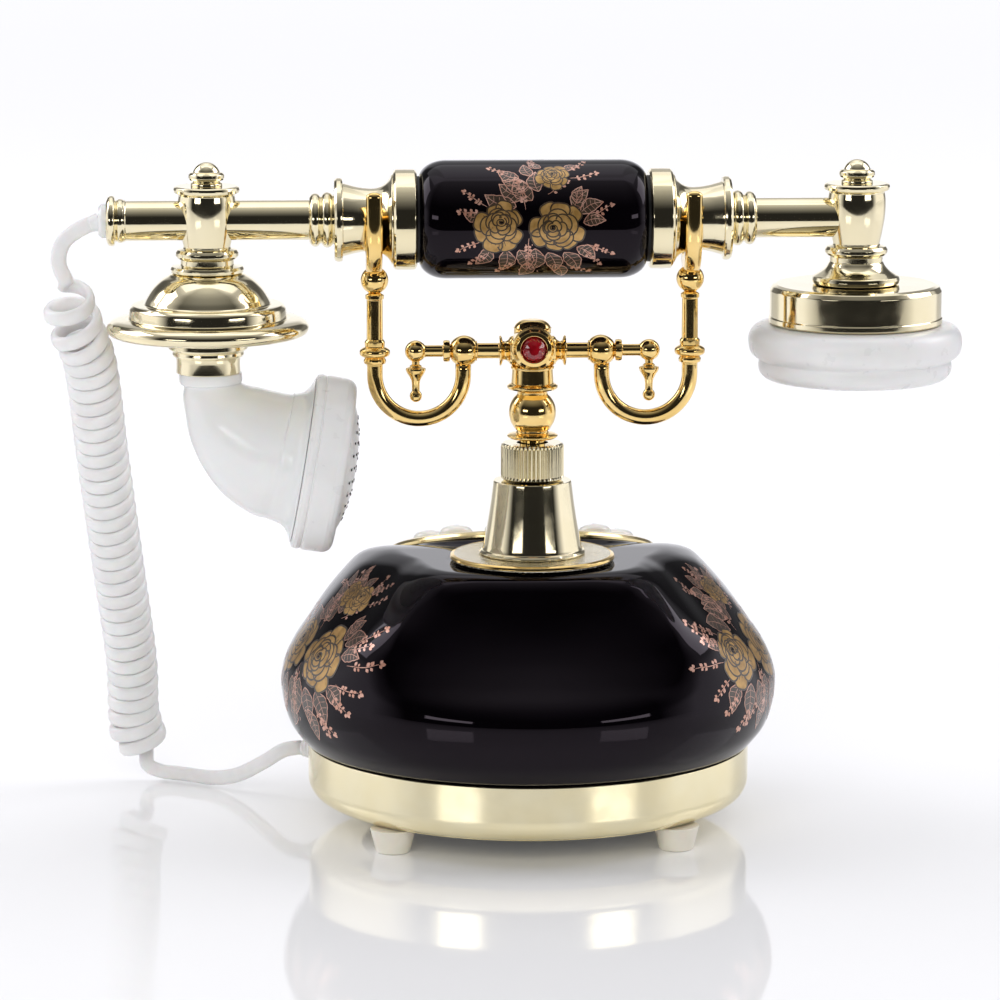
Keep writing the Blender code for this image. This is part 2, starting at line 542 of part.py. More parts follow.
cord_tube("cord_coil", COIL, 8.75, 12.0, 3, "white")
cord_tube("cord_top_lead", TOP_LEAD, 1.9, 4.5, 2, "white")
cord_tube("cord_low_lead", LOW_LEAD, 1.9, 6.0, 2, "white")
GA = math.radians(-20.0)
lathe("cord_gland", solid([(4.2, 71.9), (4.2, 74.5), (3.2, 75.2), (2.8, 78.0)]), (0, 0, 17.6), (math.cos(GA), math.sin(GA), 0), "white", 16)
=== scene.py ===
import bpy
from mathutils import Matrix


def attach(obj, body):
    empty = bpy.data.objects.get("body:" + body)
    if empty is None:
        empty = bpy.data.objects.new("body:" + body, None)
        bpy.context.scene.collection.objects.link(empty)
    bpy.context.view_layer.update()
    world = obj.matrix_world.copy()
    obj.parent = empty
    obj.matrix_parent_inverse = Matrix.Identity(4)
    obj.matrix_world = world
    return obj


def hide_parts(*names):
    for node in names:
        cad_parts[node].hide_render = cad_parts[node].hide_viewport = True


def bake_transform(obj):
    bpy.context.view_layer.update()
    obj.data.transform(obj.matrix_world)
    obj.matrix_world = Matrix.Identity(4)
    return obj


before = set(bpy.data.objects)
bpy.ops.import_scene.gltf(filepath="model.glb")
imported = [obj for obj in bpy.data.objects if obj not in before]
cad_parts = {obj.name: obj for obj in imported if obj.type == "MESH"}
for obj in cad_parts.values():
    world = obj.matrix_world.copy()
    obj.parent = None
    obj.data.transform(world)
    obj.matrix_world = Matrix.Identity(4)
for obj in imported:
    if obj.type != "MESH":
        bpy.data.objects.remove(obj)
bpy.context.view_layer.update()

import math
import random
import bpy
import bmesh
import numpy as np
from mathutils import Vector, Matrix
from mathutils.geometry import tessellate_polygon

MM = 0.001
random.seed(7)
SEG = 128

# ---- sizes shared with the frame, mm ------------------------------------
STEM_Y = 26.5
DIAL_O = Vector((0.0, -38.3, 80.6))
TILT = math.radians(17.0)
DIAL_N = Vector((0, -math.sin(TILT), math.cos(TILT)))
DIAL_U = Vector((0, math.cos(TILT), math.sin(TILT)))
BTN_RING, BTN_R, BTN_PHASE = 32.0, 5.4, 15.0
AXIS_Z, END_X, ARM_Z = 199.4, 102.3, 157.6
FOOT_R = 63.7
UP = Vector((0, 0, 1))


# =========================================================================
# materials
# =========================================================================
def new_mat(name, base, metallic=0.0, rough=0.3, **kw):
    m = bpy.data.materials.new(name)
    m.use_nodes = True
    b = m.node_tree.nodes["Principled BSDF"]
    b.inputs["Base Color"].default_value = (*base, 1)
    b.inputs["Metallic"].default_value = metallic
    b.inputs["Roughness"].default_value = rough
    for k, v in kw.items():
        b.inputs[k.replace("_", " ")].default_value = v
    return m


def noise(m, scale, detail=3.0, rough=0.5, kind="ShaderNodeTexNoise"):
    nt = m.node_tree
    tc = nt.nodes.get("TC") or nt.nodes.new("ShaderNodeTexCoord")
    tc.name = "TC"
    n = nt.nodes.new(kind)
    n.inputs["Scale"].default_value = scale
    if "Detail" in n.inputs:
        n.inputs["Detail"].default_value = detail
        n.inputs["Roughness"].default_value = rough
    nt.links.new(tc.outputs["Object"], n.inputs["Vector"])
    return n


def vary_rough(m, scale, lo, hi, detail=4.0):
    nt = m.node_tree
    n = noise(m, scale, detail)
    r = nt.nodes.new("ShaderNodeMapRange")
    r.inputs["From Min"].default_value = 0.3
    r.inputs["From Max"].default_value = 0.7
    r.inputs["To Min"].default_value = lo
    r.inputs["To Max"].default_value = hi
    nt.links.new(n.outputs["Fac"], r.inputs["Value"])
    nt.links.new(r.outputs["Result"], nt.nodes["Principled BSDF"].inputs["Roughness"])


def vary_color(m, scale, c1, c2, detail=4.0, lo=0.35, hi=0.65):
    nt = m.node_tree
    n = noise(m, scale, detail)
    r = nt.nodes.new("ShaderNodeValToRGB")
    r.color_ramp.elements[0].position = lo
    r.color_ramp.elements[1].position = hi
    r.color_ramp.elements[0].color = (*c1, 1)
    r.color_ramp.elements[1].color = (*c2, 1)
    nt.links.new(n.outputs["Fac"], r.inputs["Fac"])
    nt.links.new(r.outputs["Color"], nt.nodes["Principled BSDF"].inputs["Base Color"])


def bump(m, scale, strength, dist, detail=3.0, kind="ShaderNodeTexNoise", out="Fac"):
    nt = m.node_tree
    n = noise(m, scale, detail, kind=kind)
    b = nt.nodes.new("ShaderNodeBump")
    b.inputs["Strength"].default_value = strength
    b.inputs["Distance"].default_value = dist
    nt.links.new(n.outputs[out], b.inputs["Height"])
    nt.links.new(b.outputs["Normal"], nt.nodes["Principled BSDF"].inputs["Normal"])


def gold(name, c1, c2, lo, hi, wave=0.00004):
    m = new_mat(name, c1, 1.0, lo)
    vary_color(m, 60, c1, c2)
    vary_rough(m, 220, lo, hi)
    bump(m, 35, 0.25, wave, 2.0)
    return m


MAT = {}
MAT["rich"] = gold("gold_rich", (0.92, 0.64, 0.23), (0.95, 0.70, 0.30), 0.06, 0.11)
MAT["pale"] = gold("gold_pale", (0.87, 0.77, 0.51), (0.90, 0.81, 0.57), 0.06, 0.12)
MAT["ring"] = gold("gold_satin_ring", (0.93, 0.83, 0.54), (0.95, 0.87, 0.61), 0.16, 0.23)
MAT["dial"] = gold("gold_dial", (0.78, 0.62, 0.30), (0.84, 0.69, 0.37), 0.12, 0.20)
m = gold("gold_pebbled", (0.86, 0.78, 0.58), (0.92, 0.86, 0.70), 0.16, 0.30)
bump(m, 900, 0.55, 0.00035, 2.0, kind="ShaderNodeTexVoronoi", out="Distance")
MAT["pebble"] = m
m = new_mat("glaze_black", (0.001, 0.0006, 0.0012), 0.0, 0.045, Specular_IOR_Level=0.2)
vary_color(m, 25, (0.0007, 0.0004, 0.0008), (0.0014, 0.0009, 0.0017))
bump(m, 26, 0.18, 0.00022, 2.0)
m.node_tree.nodes["Principled BSDF"].inputs["Specular Tint"].default_value = (1.0, 0.84, 1.0, 1)
MAT["glaze"] = m
m = new_mat("milk_white", (0.87, 0.865, 0.86), 0.0, 0.22, Coat_Weight=0.35, Coat_Roughness=0.12, Subsurface_Weight=0.12, Subsurface_Scale=0.004)
vary_color(m, 40, (0.86, 0.855, 0.85), (0.90, 0.892, 0.885))
vary_rough(m, 160, 0.18, 0.27)
bump(m, 45, 0.2, 0.0001, 2.0)
MAT["white"] = m
m = new_mat("cap_white", (0.84, 0.835, 0.83), 0.0, 0.3, Coat_Weight=0.2, Coat_Roughness=0.2, Subsurface_Weight=0.1, Subsurface_Scale=0.004)
vary_color(m, 50, (0.82, 0.815, 0.81), (0.87, 0.865, 0.86))
vary_rough(m, 200, 0.26, 0.36)
bump(m, 700, 0.06, 0.00005, 2.0)
MAT["cap"] = m
m = new_mat("button_ivory", (0.84, 0.82, 0.77), 0.0, 0.16, Coat_Weight=0.5, Coat_Roughness=0.08, Subsurface_Weight=0.12, Subsurface_Scale=0.002)
vary_color(m, 90, (0.82, 0.80, 0.75), (0.87, 0.85, 0.80))
bump(m, 120, 0.1, 0.00004, 2.0)
MAT["button"] = m
m = new_mat("foot_cream", (0.84, 0.80, 0.69), 0.0, 0.38, Subsurface_Weight=0.1, Subsurface_Scale=0.003)
vary_color(m, 70, (0.82, 0.77, 0.66), (0.88, 0.84, 0.74))
vary_rough(m, 300, 0.32, 0.45)
bump(m, 900, 0.08, 0.00006, 2.0)
MAT["cream"] = m
m = new_mat("cord_white", (0.88, 0.875, 0.87), 0.0, 0.32, Coat_Weight=0.15, Coat_Roughness=0.2, Subsurface_Weight=0.15, Subsurface_Scale=0.003)
vary_color(m, 140, (0.86, 0.855, 0.85), (0.92, 0.915, 0.91))
bump(m, 600, 0.08, 0.00005, 2.0)
MAT["cord"] = m
m = new_mat("red_jewel", (0.4, 0.003, 0.01), 0.0, 0.03, Transmission_Weight=0.3, IOR=1.6, Coat_Weight=0.6, Coat_Roughness=0.02)
vary_color(m, 250, (0.22, 0.002, 0.006), (0.55, 0.008, 0.02))
MAT["jewel"] = m
m = new_mat("gap_black", (0.006, 0.006, 0.007), 0.0, 0.55)
vary_color(m, 300, (0.004, 0.004, 0.005), (0.012, 0.012, 0.013))
MAT["gap"] = m
m = new_mat("plate_black", (0.02, 0.02, 0.021), 0.3, 0.45)
vary_color(m, 200, (0.015, 0.015, 0.016), (0.03, 0.03, 0.032))
bump(m, 900, 0.12, 0.00008, 3.0)
MAT["plate"] = m
m = new_mat("board_green", (0.04, 0.18, 0.08), 0.0, 0.4)
vary_color(m, 180, (0.03, 0.15, 0.07), (0.05, 0.22, 0.10))
MAT["board"] = m
m = new_mat("felt_black", (0.02, 0.02, 0.02), 0.0, 0.8)
vary_color(m, 500, (0.012, 0.012, 0.012), (0.035, 0.035, 0.036))
MAT["felt"] = m
# printed decoration: old gold petals, copper-pink lines, dark drawing lines
m = new_mat("print_gold", (0.42, 0.24, 0.07), 0.55, 0.38, Coat_Weight=0.3, Coat_Roughness=0.05)
vary_color(m, 350, (0.34, 0.19, 0.05), (0.55, 0.33, 0.11))
vary_rough(m, 700, 0.28, 0.42)
MAT["p_gold"] = m
m = new_mat("print_copper", (0.62, 0.33, 0.24), 0.6, 0.32, Coat_Weight=0.5, Coat_Roughness=0.04)
vary_color(m, 500, (0.52, 0.25, 0.17), (0.72, 0.42, 0.33))
MAT["p_copper"] = m
m = new_mat("print_dark", (0.035, 0.022, 0.012), 0.1, 0.3, Coat_Weight=0.5, Coat_Roughness=0.04)
vary_color(m, 500, (0.02, 0.012, 0.006), (0.055, 0.034, 0.018))
MAT["p_dark"] = m
m = new_mat("print_leaf", (0.17, 0.10, 0.055), 0.6, 0.36, Coat_Weight=0.5, Coat_Roughness=0.04)
vary_color(m, 600, (0.08, 0.045, 0.022), (0.26, 0.16, 0.08))
MAT["p_leaf"] = m
m = new_mat("number_ink", (0.03, 0.03, 0.03), 0.0, 0.4)
vary_color(m, 500, (0.02, 0.02, 0.02), (0.05, 0.05, 0.05))
MAT["ink"] = m


# =========================================================================
# mesh helpers
# =========================================================================
def axes(direction):
    w = Vector(direction).normalized()
    ref = Vector((0, 0, 1)) if abs(w.z) < 0.9 else Vector((0, 1, 0))
    u = ref.cross(w).normalized()
    return u, w.cross(u), w


def put(name, verts, faces, mat, body, nodes=(), normals=None, smooth=True, mats=None, mat_index=None):
    me = bpy.data.meshes.new(name)
    me.from_pydata([tuple(c * MM for c in v) for v in verts], [], faces)
    if mats:
        for k in mats:
            me.materials.append(MAT[k])
        for p, i in zip(me.polygons, mat_index):
            p.material_index = i
    else:
        me.materials.append(MAT[mat])
    if smooth:
        me.polygons.foreach_set("use_smooth", [True] * len(me.polygons))
    if normals is None:
        bm = bmesh.new()
        bm.from_mesh(me)
        bmesh.ops.recalc_face_normals(bm, faces=bm.faces)
        bm.to_mesh(me)
        bm.free()
    else:
        me.normals_split_custom_set_from_vertices([tuple(n) for n in normals])
    me.update()
    ob = bpy.data.objects.new(name, me)
    bpy.context.scene.collection.objects.link(ob)
    if body:
        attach(ob, body)
    if nodes:
        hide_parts(*nodes)
    return ob


def curve_pts(pts, n=6):
    """Points of a smooth curve through (r, h) points."""
    P = [Vector((p[0], p[1])) for p in pts]
    P = [P[0] * 2 - P[1]] + P + [P[-1] * 2 - P[-2]]
    out = []
    for i in range(1, len(P) - 2):
        for k in range(n):
            t = k / n
            a, b, c, d = P[i - 1], P[i], P[i + 1], P[i + 2]
            q = 0.5 * ((2 * b) + (c - a) * t + (2 * a - 5 * b + 4 * c - d) * t * t + (3 * b - a - 3 * c + d) * t ** 3)
            out.append((max(q.x, 0.0), q.y))
    out.append((pts[-1][0], pts[-1][1]))
    return out


def arc_pts(cr, ch, r, a0, a1, n=8):
    return [(max(0.0, cr + r * math.cos(math.radians(a0 + (a1 - a0) * i / n))), ch + r * math.sin(math.radians(a0 + (a1 - a0) * i / n))) for i in range(n + 1)]


def round_profile(pts, fil=0.3, closed=False, steps=4):
    """Rounds each sharp corner of a profile; returns points with 2D normals (left of travel)."""
    P = [Vector((p[0], p[1])) for p in pts]
    F = [p[2] if len(p) > 2 else fil for p in pts]
    n = len(P)
    out = []
    for i in range(n):
        if not closed and i in (0, n - 1):
            out.append(P[i].copy())
            continue
        a, b, c = P[i - 1], P[i], P[(i + 1) % n]
        d0, d1 = b - a, c - b
        l0, l1 = d0.length, d1.length
        if l0 < 1e-6 or l1 < 1e-6:
            continue
        d0, d1 = d0 / l0, d1 / l1
        ang = math.acos(max(-1, min(1, d0.dot(d1))))
        if ang < math.radians(14) or F[i] <= 0:
            out.append(b.copy())
            continue
        cut = min(F[i] * math.tan(ang / 2), 0.45 * l0, 0.45 * l1)
        r = cut / math.tan(ang / 2)
        side = 1 if d0.x * d1.y - d0.y * d1.x > 0 else -1
        nrm = Vector((-d0.y, d0.x)) * side
        cen = b - d0 * cut + nrm * r
        st = b - d0 * cut - cen
        k = max(2, steps if ang > 0.6 else 2)
        for j in range(k + 1):
            t = side * ang * j / k
            out.append(cen + Vector((st.x * math.cos(t) - st.y * math.sin(t), st.x * math.sin(t) + st.y * math.cos(t))))
    # normals: by the length of the neighbouring segments
    m = len(out)
    nor = []
    for i in range(m):
        acc = Vector((0, 0))
        for a, b in ((i - 1, i), (i, i + 1)):
            if not closed and (a < 0 or b >= m):
                continue
            s = out[b % m] - out[a % m]
            if s.length > 1e-9:
                acc += Vector((s.y, -s.x))
        nor.append(acc.normalized() if acc.length > 1e-9 else Vector((1, 0)))
    return out, nor


def lathe(name, pts, origin, direction, mat, body, nodes=(), fil=0.3, closed=False, seg=None, flip=False, steps=4):
    seg = seg or SEG
    P, N = round_profile(pts, fil, closed, steps)
    # outward orientation: area sign
    area = sum(P[i].x * P[(i + 1) % len(P)].y - P[(i + 1) % len(P)].x * P[i].y for i in range(len(P)))
    sgn = 1 if area > 0 else -1
    u, v, w = axes(direction)
    o = Vector(origin)
    verts, faces, norms, rows = [], [], [], []
    for p, nn in zip(P, N):
        nn = nn * sgn
        if p.x < 1e-6:
            rows.append([len(verts)])
            verts.append(o + w * p.y)
            norms.append(w * (1 if nn.y >= 0 else -1))
        else:
            row = []
            for i in range(seg):
                a = 2 * math.pi * i / seg
                e = u * math.cos(a) + v * math.sin(a)
                row.append(len(verts))
                verts.append(o + w * p.y + e * p.x)
                norms.append((e * nn.x + w * nn.y).normalized())
            rows.append(row)
    pairs = list(zip(rows, rows[1:]))
    if closed:
        pairs.append((rows[-1], rows[0]))
    for a, b in pairs:
        for i in range(seg):
            j = (i + 1) % seg
            if len(a) == 1 and len(b) == 1:
                continue
            if len(a) == 1:
                f = (a[0], b[j], b[i])
            elif len(b) == 1:
                f = (a[i], a[j], b[0])
            else:
                f = (a[i], a[j], b[j], b[i])
            faces.append(f if sgn > 0 else f[::-1])
    return put(name, verts, faces, mat, body, nodes, normals=norms)


def solid(p):
    p = list(p)
    return [(0, p[0][1])] + p + [(0, p[-1][1])]


def loft(name, rings, mat, body, nodes=(), closed=False, cap=True):
    n = len(rings[0])
    verts = [p for r in rings for p in r]
    faces = []
    cnt = len(rings)
    for k in range(cnt if closed else cnt - 1):
        a, b = k * n, ((k + 1) % cnt) * n
        for i in range(n):
            j = (i + 1) % n
            faces.append((a + i, a + j, b + j, b + i))
    if not closed and cap:
        faces.append(tuple(range(n))[::-1])
        faces.append(tuple((cnt - 1) * n + i for i in range(n)))
    return put(name, verts, faces, mat, body, nodes)


def sweep(path, radii, seg):
    pts = [Vector(p) for p in path]
    u = None
    rings = []
    for i, p in enumerate(pts):
        a, b = pts[max(0, i - 1)], pts[min(len(pts) - 1, i + 1)]
        t = (b - a).normalized()
        if u is None:
            u = axes(t)[0]
        u = (u - t * u.dot(t)).normalized()
        v = t.cross(u)
        r = radii[i] if isinstance(radii, (list, tuple)) else radii
        rings.append([p + (u * math.cos(2 * math.pi * k / seg) + v * math.sin(2 * math.pi * k / seg)) * r for k in range(seg)])
    return rings


def smooth_path(pts, step):
    P = [Vector(p) for p in pts]
    P = [P[0] * 2 - P[1]] + P + [P[-1] * 2 - P[-2]]
    out = []
    for i in range(1, len(P) - 2):
        n = max(1, round((P[i + 1] - P[i]).length / step))
        for k in range(n):
            t = k / n
            a, b, c, d = P[i - 1], P[i], P[i + 1], P[i + 2]
            out.append(0.5 * ((2 * b) + (c - a) * t + (2 * a - 5 * b + 4 * c - d) * t * t + (3 * b - a - 3 * c + d) * t ** 3))
    out.append(P[-2])
    return out


# =========================================================================
# camera and stage
# =========================================================================
PHI = math.radians(2.5)
PITCH = math.radians(10.04)


def from_view(x, d, z):
    """Viewer axes (right, towards the viewer, up; mm) to the row frame."""
    return Vector((-x * math.cos(PHI) + d * math.sin(PHI), x * math.sin(PHI) + d * math.cos(PHI), z))


cam = bpy.data.cameras.new("camera")
cam_ob = bpy.data.objects.new("camera", cam)
bpy.context.scene.collection.objects.link(cam_ob)
cam.sensor_width = 36.0
cam.lens = 178.55
cam.clip_start, cam.clip_end = 0.05, 60.0
eye = from_view(-9.1, 1577.8, 384.25) * MM
look = (from_view(0, -math.cos(PITCH), -math.sin(PITCH))).normalized()
cam_ob.location = eye
cam_ob.rotation_euler = look.to_track_quat("-Z", "Y").to_euler()
bpy.context.scene.camera = cam_ob

# floor: it glows (emission), painted light that brightens it
m = new_mat("studio_floor", (0.955, 0.955, 0.955), 0.0, 0.6, Emission_Color=(1, 1, 1, 1), Emission_Strength=0.1, Coat_Weight=1.0, Coat_Roughness=0.05, Specular_IOR_Level=0.0)
vary_rough(m, 3, 0.58, 0.62)
# painted light: the floor's glow grows towards the back, emission 0.06 near the object up to 0.32 far back
ntf = m.node_tree
spf = ntf.nodes.new("ShaderNodeSeparateXYZ")
ntf.links.new(ntf.nodes["TC"].outputs["Object"], spf.inputs["Vector"])
painted_glow_ramp = ntf.nodes.new("ShaderNodeMapRange")
painted_glow_ramp.inputs["From Min"].default_value, painted_glow_ramp.inputs["From Max"].default_value = -0.4, -1.8
painted_glow_ramp.inputs["To Min"].default_value, painted_glow_ramp.inputs["To Max"].default_value = 0.06, 0.32
ntf.links.new(spf.outputs["Y"], painted_glow_ramp.inputs["Value"])
ntf.links.new(painted_glow_ramp.outputs["Result"], ntf.nodes["Principled BSDF"].inputs["Emission Strength"])
MAT["floor"] = m
fl = bpy.data.meshes.new("studio_floor")
fl.from_pydata([(-7, -9, 0), (7, -9, 0), (7, 0.75, 0), (-7, 0.75, 0)], [], [(0, 1, 2, 3)])
fl.materials.append(m)
floor = bpy.data.objects.new("studio_floor", fl)
floor.location = (0, 0, -0.00005)
bpy.context.scene.collection.objects.link(floor)


def area(name, loc, target, sx, sy, power, color=(1, 1, 1)):
    L = bpy.data.lights.new(name, "AREA")
    L.shape = "RECTANGLE"
    L.size, L.size_y = sx, sy
    L.energy = power
    L.color = color
    o = bpy.data.objects.new(name, L)
    o.location = loc
    o.rotation_euler = (Vector(target) - Vector(loc)).to_track_quat("-Z", "Y").to_euler()
    bpy.context.scene.collection.objects.link(o)
    return o


area("top_soft", (0.0, -0.62, 1.75), (0, 0, 0.1), 2.2, 1.7, 7.2, (0.97, 0.97, 1.0))
for nm, az, wd, pw in (("key_left", -35.5, 0.74, 2.1), ("key_right", 44.0, 0.78, 2.1)):
    az = math.radians(az)
    area(nm, from_view(1900 * math.sin(az), 1900 * math.cos(az), 480) * MM, (0, 0, 0.30), wd, 0.22, pw)
# tall side windows, they light the lobes
for nm, az in (("side_left", -104.0), ("side_right", 104.0)):
    az = math.radians(az)
    area(nm, from_view(1500 * math.sin(az), 1500 * math.cos(az), 1150) * MM, (0, 0, 0.06), 1.1, 0.95, 9.5, (0.96, 0.95, 1.0))

# soft fill from the viewer's side, kept out of the mirror reflections
fill = area("front_fill", from_view(-150, 1750, 900) * MM, (0, 0, 0.12), 1.5, 1.0, 14.5)
fill.visible_glossy = False

# surroundings: white studio, dark behind the camera
w = bpy.data.worlds.new("studio")
bpy.context.scene.world = w
w.use_nodes = True
nt = w.node_tree
bg = nt.nodes["Background"]
tc = nt.nodes.new("ShaderNodeTexCoord")
sep = nt.nodes.new("ShaderNodeSeparateXYZ")
nt.links.new(tc.outputs["Generated"], sep.inputs["Vector"])


def mathn(op, a, b=None, clamp=False):
    n = nt.nodes.new("ShaderNodeMath")
    n.operation = op
    n.use_clamp = clamp
    for i, x in enumerate((a, b)):
        if x is None:
            continue
        if isinstance(x, (int, float)):
            n.inputs[i].default_value = x
        else:
            nt.links.new(x, n.inputs[i])
    return n.outputs[0]




def ramp(fac, stops):
    n = nt.nodes.new("ShaderNodeValToRGB")
    r = n.color_ramp
    while len(r.elements) > 1:
        r.elements.remove(r.elements[-1])
    r.elements[0].position = stops[0][0]
    r.elements[0].color = (*stops[0][1], 1)
    for pos, col in stops[1:]:
        e = r.elements.new(pos)
        e.color = (*col, 1)
    nt.links.new(fac, n.inputs["Fac"])
    return n.outputs["Color"]


def grey(v, tint=1.0):
    return (v * tint, v * tint, v * (1.0 if tint == 1.0 else 1.03))


up = mathn("ADD", mathn("MULTIPLY", sep.outputs["Z"], 0.5), 0.5, True)
front = ramp(up, [(0.5 + 0.5 * z_, grey(v_)) for z_, v_ in ((-1.0, 0.02), (0.46, 0.02), (0.58, 0.07), (0.72, 0.16), (0.84, 0.28), (0.94, 0.45), (1.0, 0.7))])
back = ramp(up, [(0.5 + 0.5 * z_, grey(v_, 0.985)) for z_, v_ in ((-1.0, 1.12), (0.20, 1.12), (0.32, 0.55), (0.80, 0.52), (0.94, 0.9), (1.0, 0.97))])
hor = mathn("SQRT", mathn("ADD", mathn("ADD", mathn("MULTIPLY", sep.outputs["X"], sep.outputs["X"]), mathn("MULTIPLY", sep.outputs["Y"], sep.outputs["Y"])), 0.0001))
turn = mathn("DIVIDE", sep.outputs["Y"], hor)
side = mathn("MULTIPLY", mathn("SUBTRACT", turn, 0.18), 3.0, True)
# two dark flags either side of the backdrop
flag = mathn("MULTIPLY", mathn("MULTIPLY", mathn("SUBTRACT", -0.62, turn), 10.0, True), mathn("MULTIPLY", mathn("ADD", turn, 0.965), 25.0, True))
side = mathn("MAXIMUM", side, mathn("MULTIPLY", flag, 0.85))
lp = nt.nodes.new("ShaderNodeLightPath")
notcam = mathn("SUBTRACT", 1.0, lp.outputs["Is Camera Ray"])
mixn = nt.nodes.new("ShaderNodeMix")
mixn.data_type = "RGBA"
nt.links.new(mathn("MULTIPLY", side, notcam), mixn.inputs["Factor"])
nt.links.new(back, mixn.inputs["A"])
nt.links.new(front, mixn.inputs["B"])
nt.links.new(mixn.outputs["Result"], bg.inputs["Color"])
bg.inputs["Strength"].default_value = 1.0
bpy.context.scene.view_settings.view_transform = "Standard"

# =========================================================================
# handset cord: one flat ribbon, from the gland up to the plug
# =========================================================================
COIL = [(145.6, 25.5, 178.0), (144.4, 20.0, 166.0), (140.0, 12.0, 152.0), (137.0, -8.0, 117.0), (133.5, -28.0, 80.0), (130.0, -44.0, 45.0), (129.6, -52.0, 24.0), (127.0, -55.0, 10.6)]
TOP_LEAD = [(136.9, 27.0, 199.0), (141.0, 27.0, 197.5), (147.2, 26.6, 193.0), (149.0, 26.0, 186.0), (146.5, 25.8, 180.6)]
LOW_LEAD = [(125.0, -56.6, 4.6), (119.0, -56.6, 2.6), (108.0, -50.0, 2.4), (96.0, -40.5, 5.0), (86.0, -33.0, 11.5), (79.4, -28.4, 16.6), (73.7, -26.8, 17.6)]
RIB_W, RIB_T = 4.9, 2.9


def build_cord():
    low = smooth_path(LOW_LEAD[::-1], 2.0)          # gland to coil
    axis = smooth_path(COIL[::-1], 1.0)             # bottom to top
    top = smooth_path(TOP_LEAD[::-1], 1.5)          # coil to plug
    # arc length along the axis
    L = [0.0]
    for a, b in zip(axis, axis[1:]):
        L.append(L[-1] + (b - a).length)
    total = L[-1]

    def at(s):
        s = max(0.0, min(total, s))
        i = max(0, min(len(axis) - 2, int(np.searchsorted(L, s)) - 1))
        t = (s - L[i]) / max(1e-9, L[i + 1] - L[i])
        p = axis[i].lerp(axis[i + 1], t)
        d = (axis[min(len(axis) - 1, i + 3)] - axis[max(0, i - 2)]).normalized()
        return p, d
    per = 22
    pts, outs = [], []
    s, ang = 1.4, math.radians(-100)
    u = None
    while s < total - 1.0:
        p, d = at(s)
        if u is None:
            u = axes(d)[0]
        u = (u - d * u.dot(d)).normalized()
        v = d.cross(u)
        # looser turns at the top, slightly open ones at the foot
        pitch = 5.38
        rad = 7.45
        if s > total - 22:
            k_ = min(1, (s - (total - 22)) / 10)
            pitch += 3.4 * k_
            rad += 0.5 * k_
        if s < 16:
            k_ = min(1, (16 - s) / 10)
            pitch += 0.5 * k_
            rad += 0.9 * k_
        e = u * math.cos(ang) + v * math.sin(ang)
        ease = min(1.0, (s - 1.4) / 4.0, (total - 1.0 - s) / 5.0)
        rad *= 0.55 + 0.45 * max(0.0, ease)
        q = p + e * rad
        q.z = max(q.z, RIB_W / 2 + 0.05)
        pts.append(q)
        outs.append(e.copy())
        ang += 2 * math.pi / per
        s += pitch / per
    # leads: widths stand up on the table, then blend into the coil
    low_out = []
    for i, p in enumerate(low):
        t = (low[min(i + 1, len(low) - 1)] - low[max(i - 1, 0)]).normalized()
        e = t.cross(Vector((0, 0, 1)))
        low_out.append(e.normalized() if e.length > 0.05 else Vector((0, 1, 0)))
    top_out = []
    for i, p in enumerate(top):
        t = (top[min(i + 1, len(top) - 1)] - top[max(i - 1, 0)]).normalized()
        e = Vector((0.0, 1, 0.0))
        e = e - t * e.dot(t)
        top_out.append(e.normalized() if e.length > 0.05 else Vector((1, 0, 0)))

    def join(a, ao, b, bo):
        """A short smooth bridge between the end of a and the start of b."""
        p0, p1 = a[-1], b[0]
        d0 = (a[-1] - a[-2]).normalized()
        d1 = (b[1] - b[0]).normalized()
        dist_ = (p1 - p0).length
        n = max(4, int(dist_ / 1.2))
        k = dist_ * 0.9
        mid, mo = [], []
        for i in range(1, n):
            t = i / n
            h00, h10 = 2 * t ** 3 - 3 * t ** 2 + 1, t ** 3 - 2 * t ** 2 + t
            h01, h11 = -2 * t ** 3 + 3 * t ** 2, t ** 3 - t ** 2
            mid.append(p0 * h00 + d0 * k * h10 + p1 * h01 + d1 * k * h11)
            mo.append((ao[-1] * (1 - t) + bo[0] * t).normalized() if (ao[-1] * (1 - t) + bo[0] * t).length > 0.05 else bo[0])
        return mid, mo
    m1, o1 = join(low, low_out, pts, outs)
    m2, o2 = join(pts, outs, top, top_out)
    P = low + m1 + pts + m2 + top
    O = low_out + o1 + outs + o2 + top_out
    # drop points that are nearly on top of each other
    PP, OO = [P[0]], [O[0]]
    for p, o in zip(P[1:], O[1:]):
        if (p - PP[-1]).length > 0.35:
            PP.append(p)
            OO.append(o)
    for _ in range(2):
        PP = [PP[0]] + [PP[i] * 0.5 + (PP[i - 1] + PP[i + 1]) * 0.25 for i in range(1, len(PP) - 1)] + [PP[-1]]
    for p in PP:
        p.z = max(p.z, RIB_W / 2 + 0.35)
    return PP, OO


def ribbon(P, O):
    """Rounded flat section; width runs across the outward direction."""
    ns = 12
    prev = None
    rings = []
    for i, p in enumerate(P):
        t = (P[min(i + 1, len(P) - 1)] - P[max(i - 1, 0)]).normalized()
        o = O[i]
        o = (o - t * o.dot(t))
        if o.length < 0.05:
            o = prev.copy()
        o.normalize()
        if prev is not None:
            if o.dot(prev) < 0:
                o = -o
            o = (o * 0.5 + prev * 0.5)
            o = (o - t * o.dot(t)).normalized()
        prev = o
        s = t.cross(o)
        ring = []
        for k in range(ns):
            a = 2 * math.pi * k / ns
            ca, sa = math.cos(a), math.sin(a)
            # superellipse: flat faces, round edges
            x = math.copysign(abs(ca) ** 0.75, ca) * RIB_T / 2
            y = math.copysign(abs(sa) ** 0.8, sa) * RIB_W / 2
            ring.append(p + o * x + s * y)
        rings.append(ring)
    return rings


P, O = build_cord()
cord = loft("handset_cord", ribbon(P, O), "cord", None, ("cord_coil", "cord_low_lead", "cord_top_lead"))
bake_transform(cord)

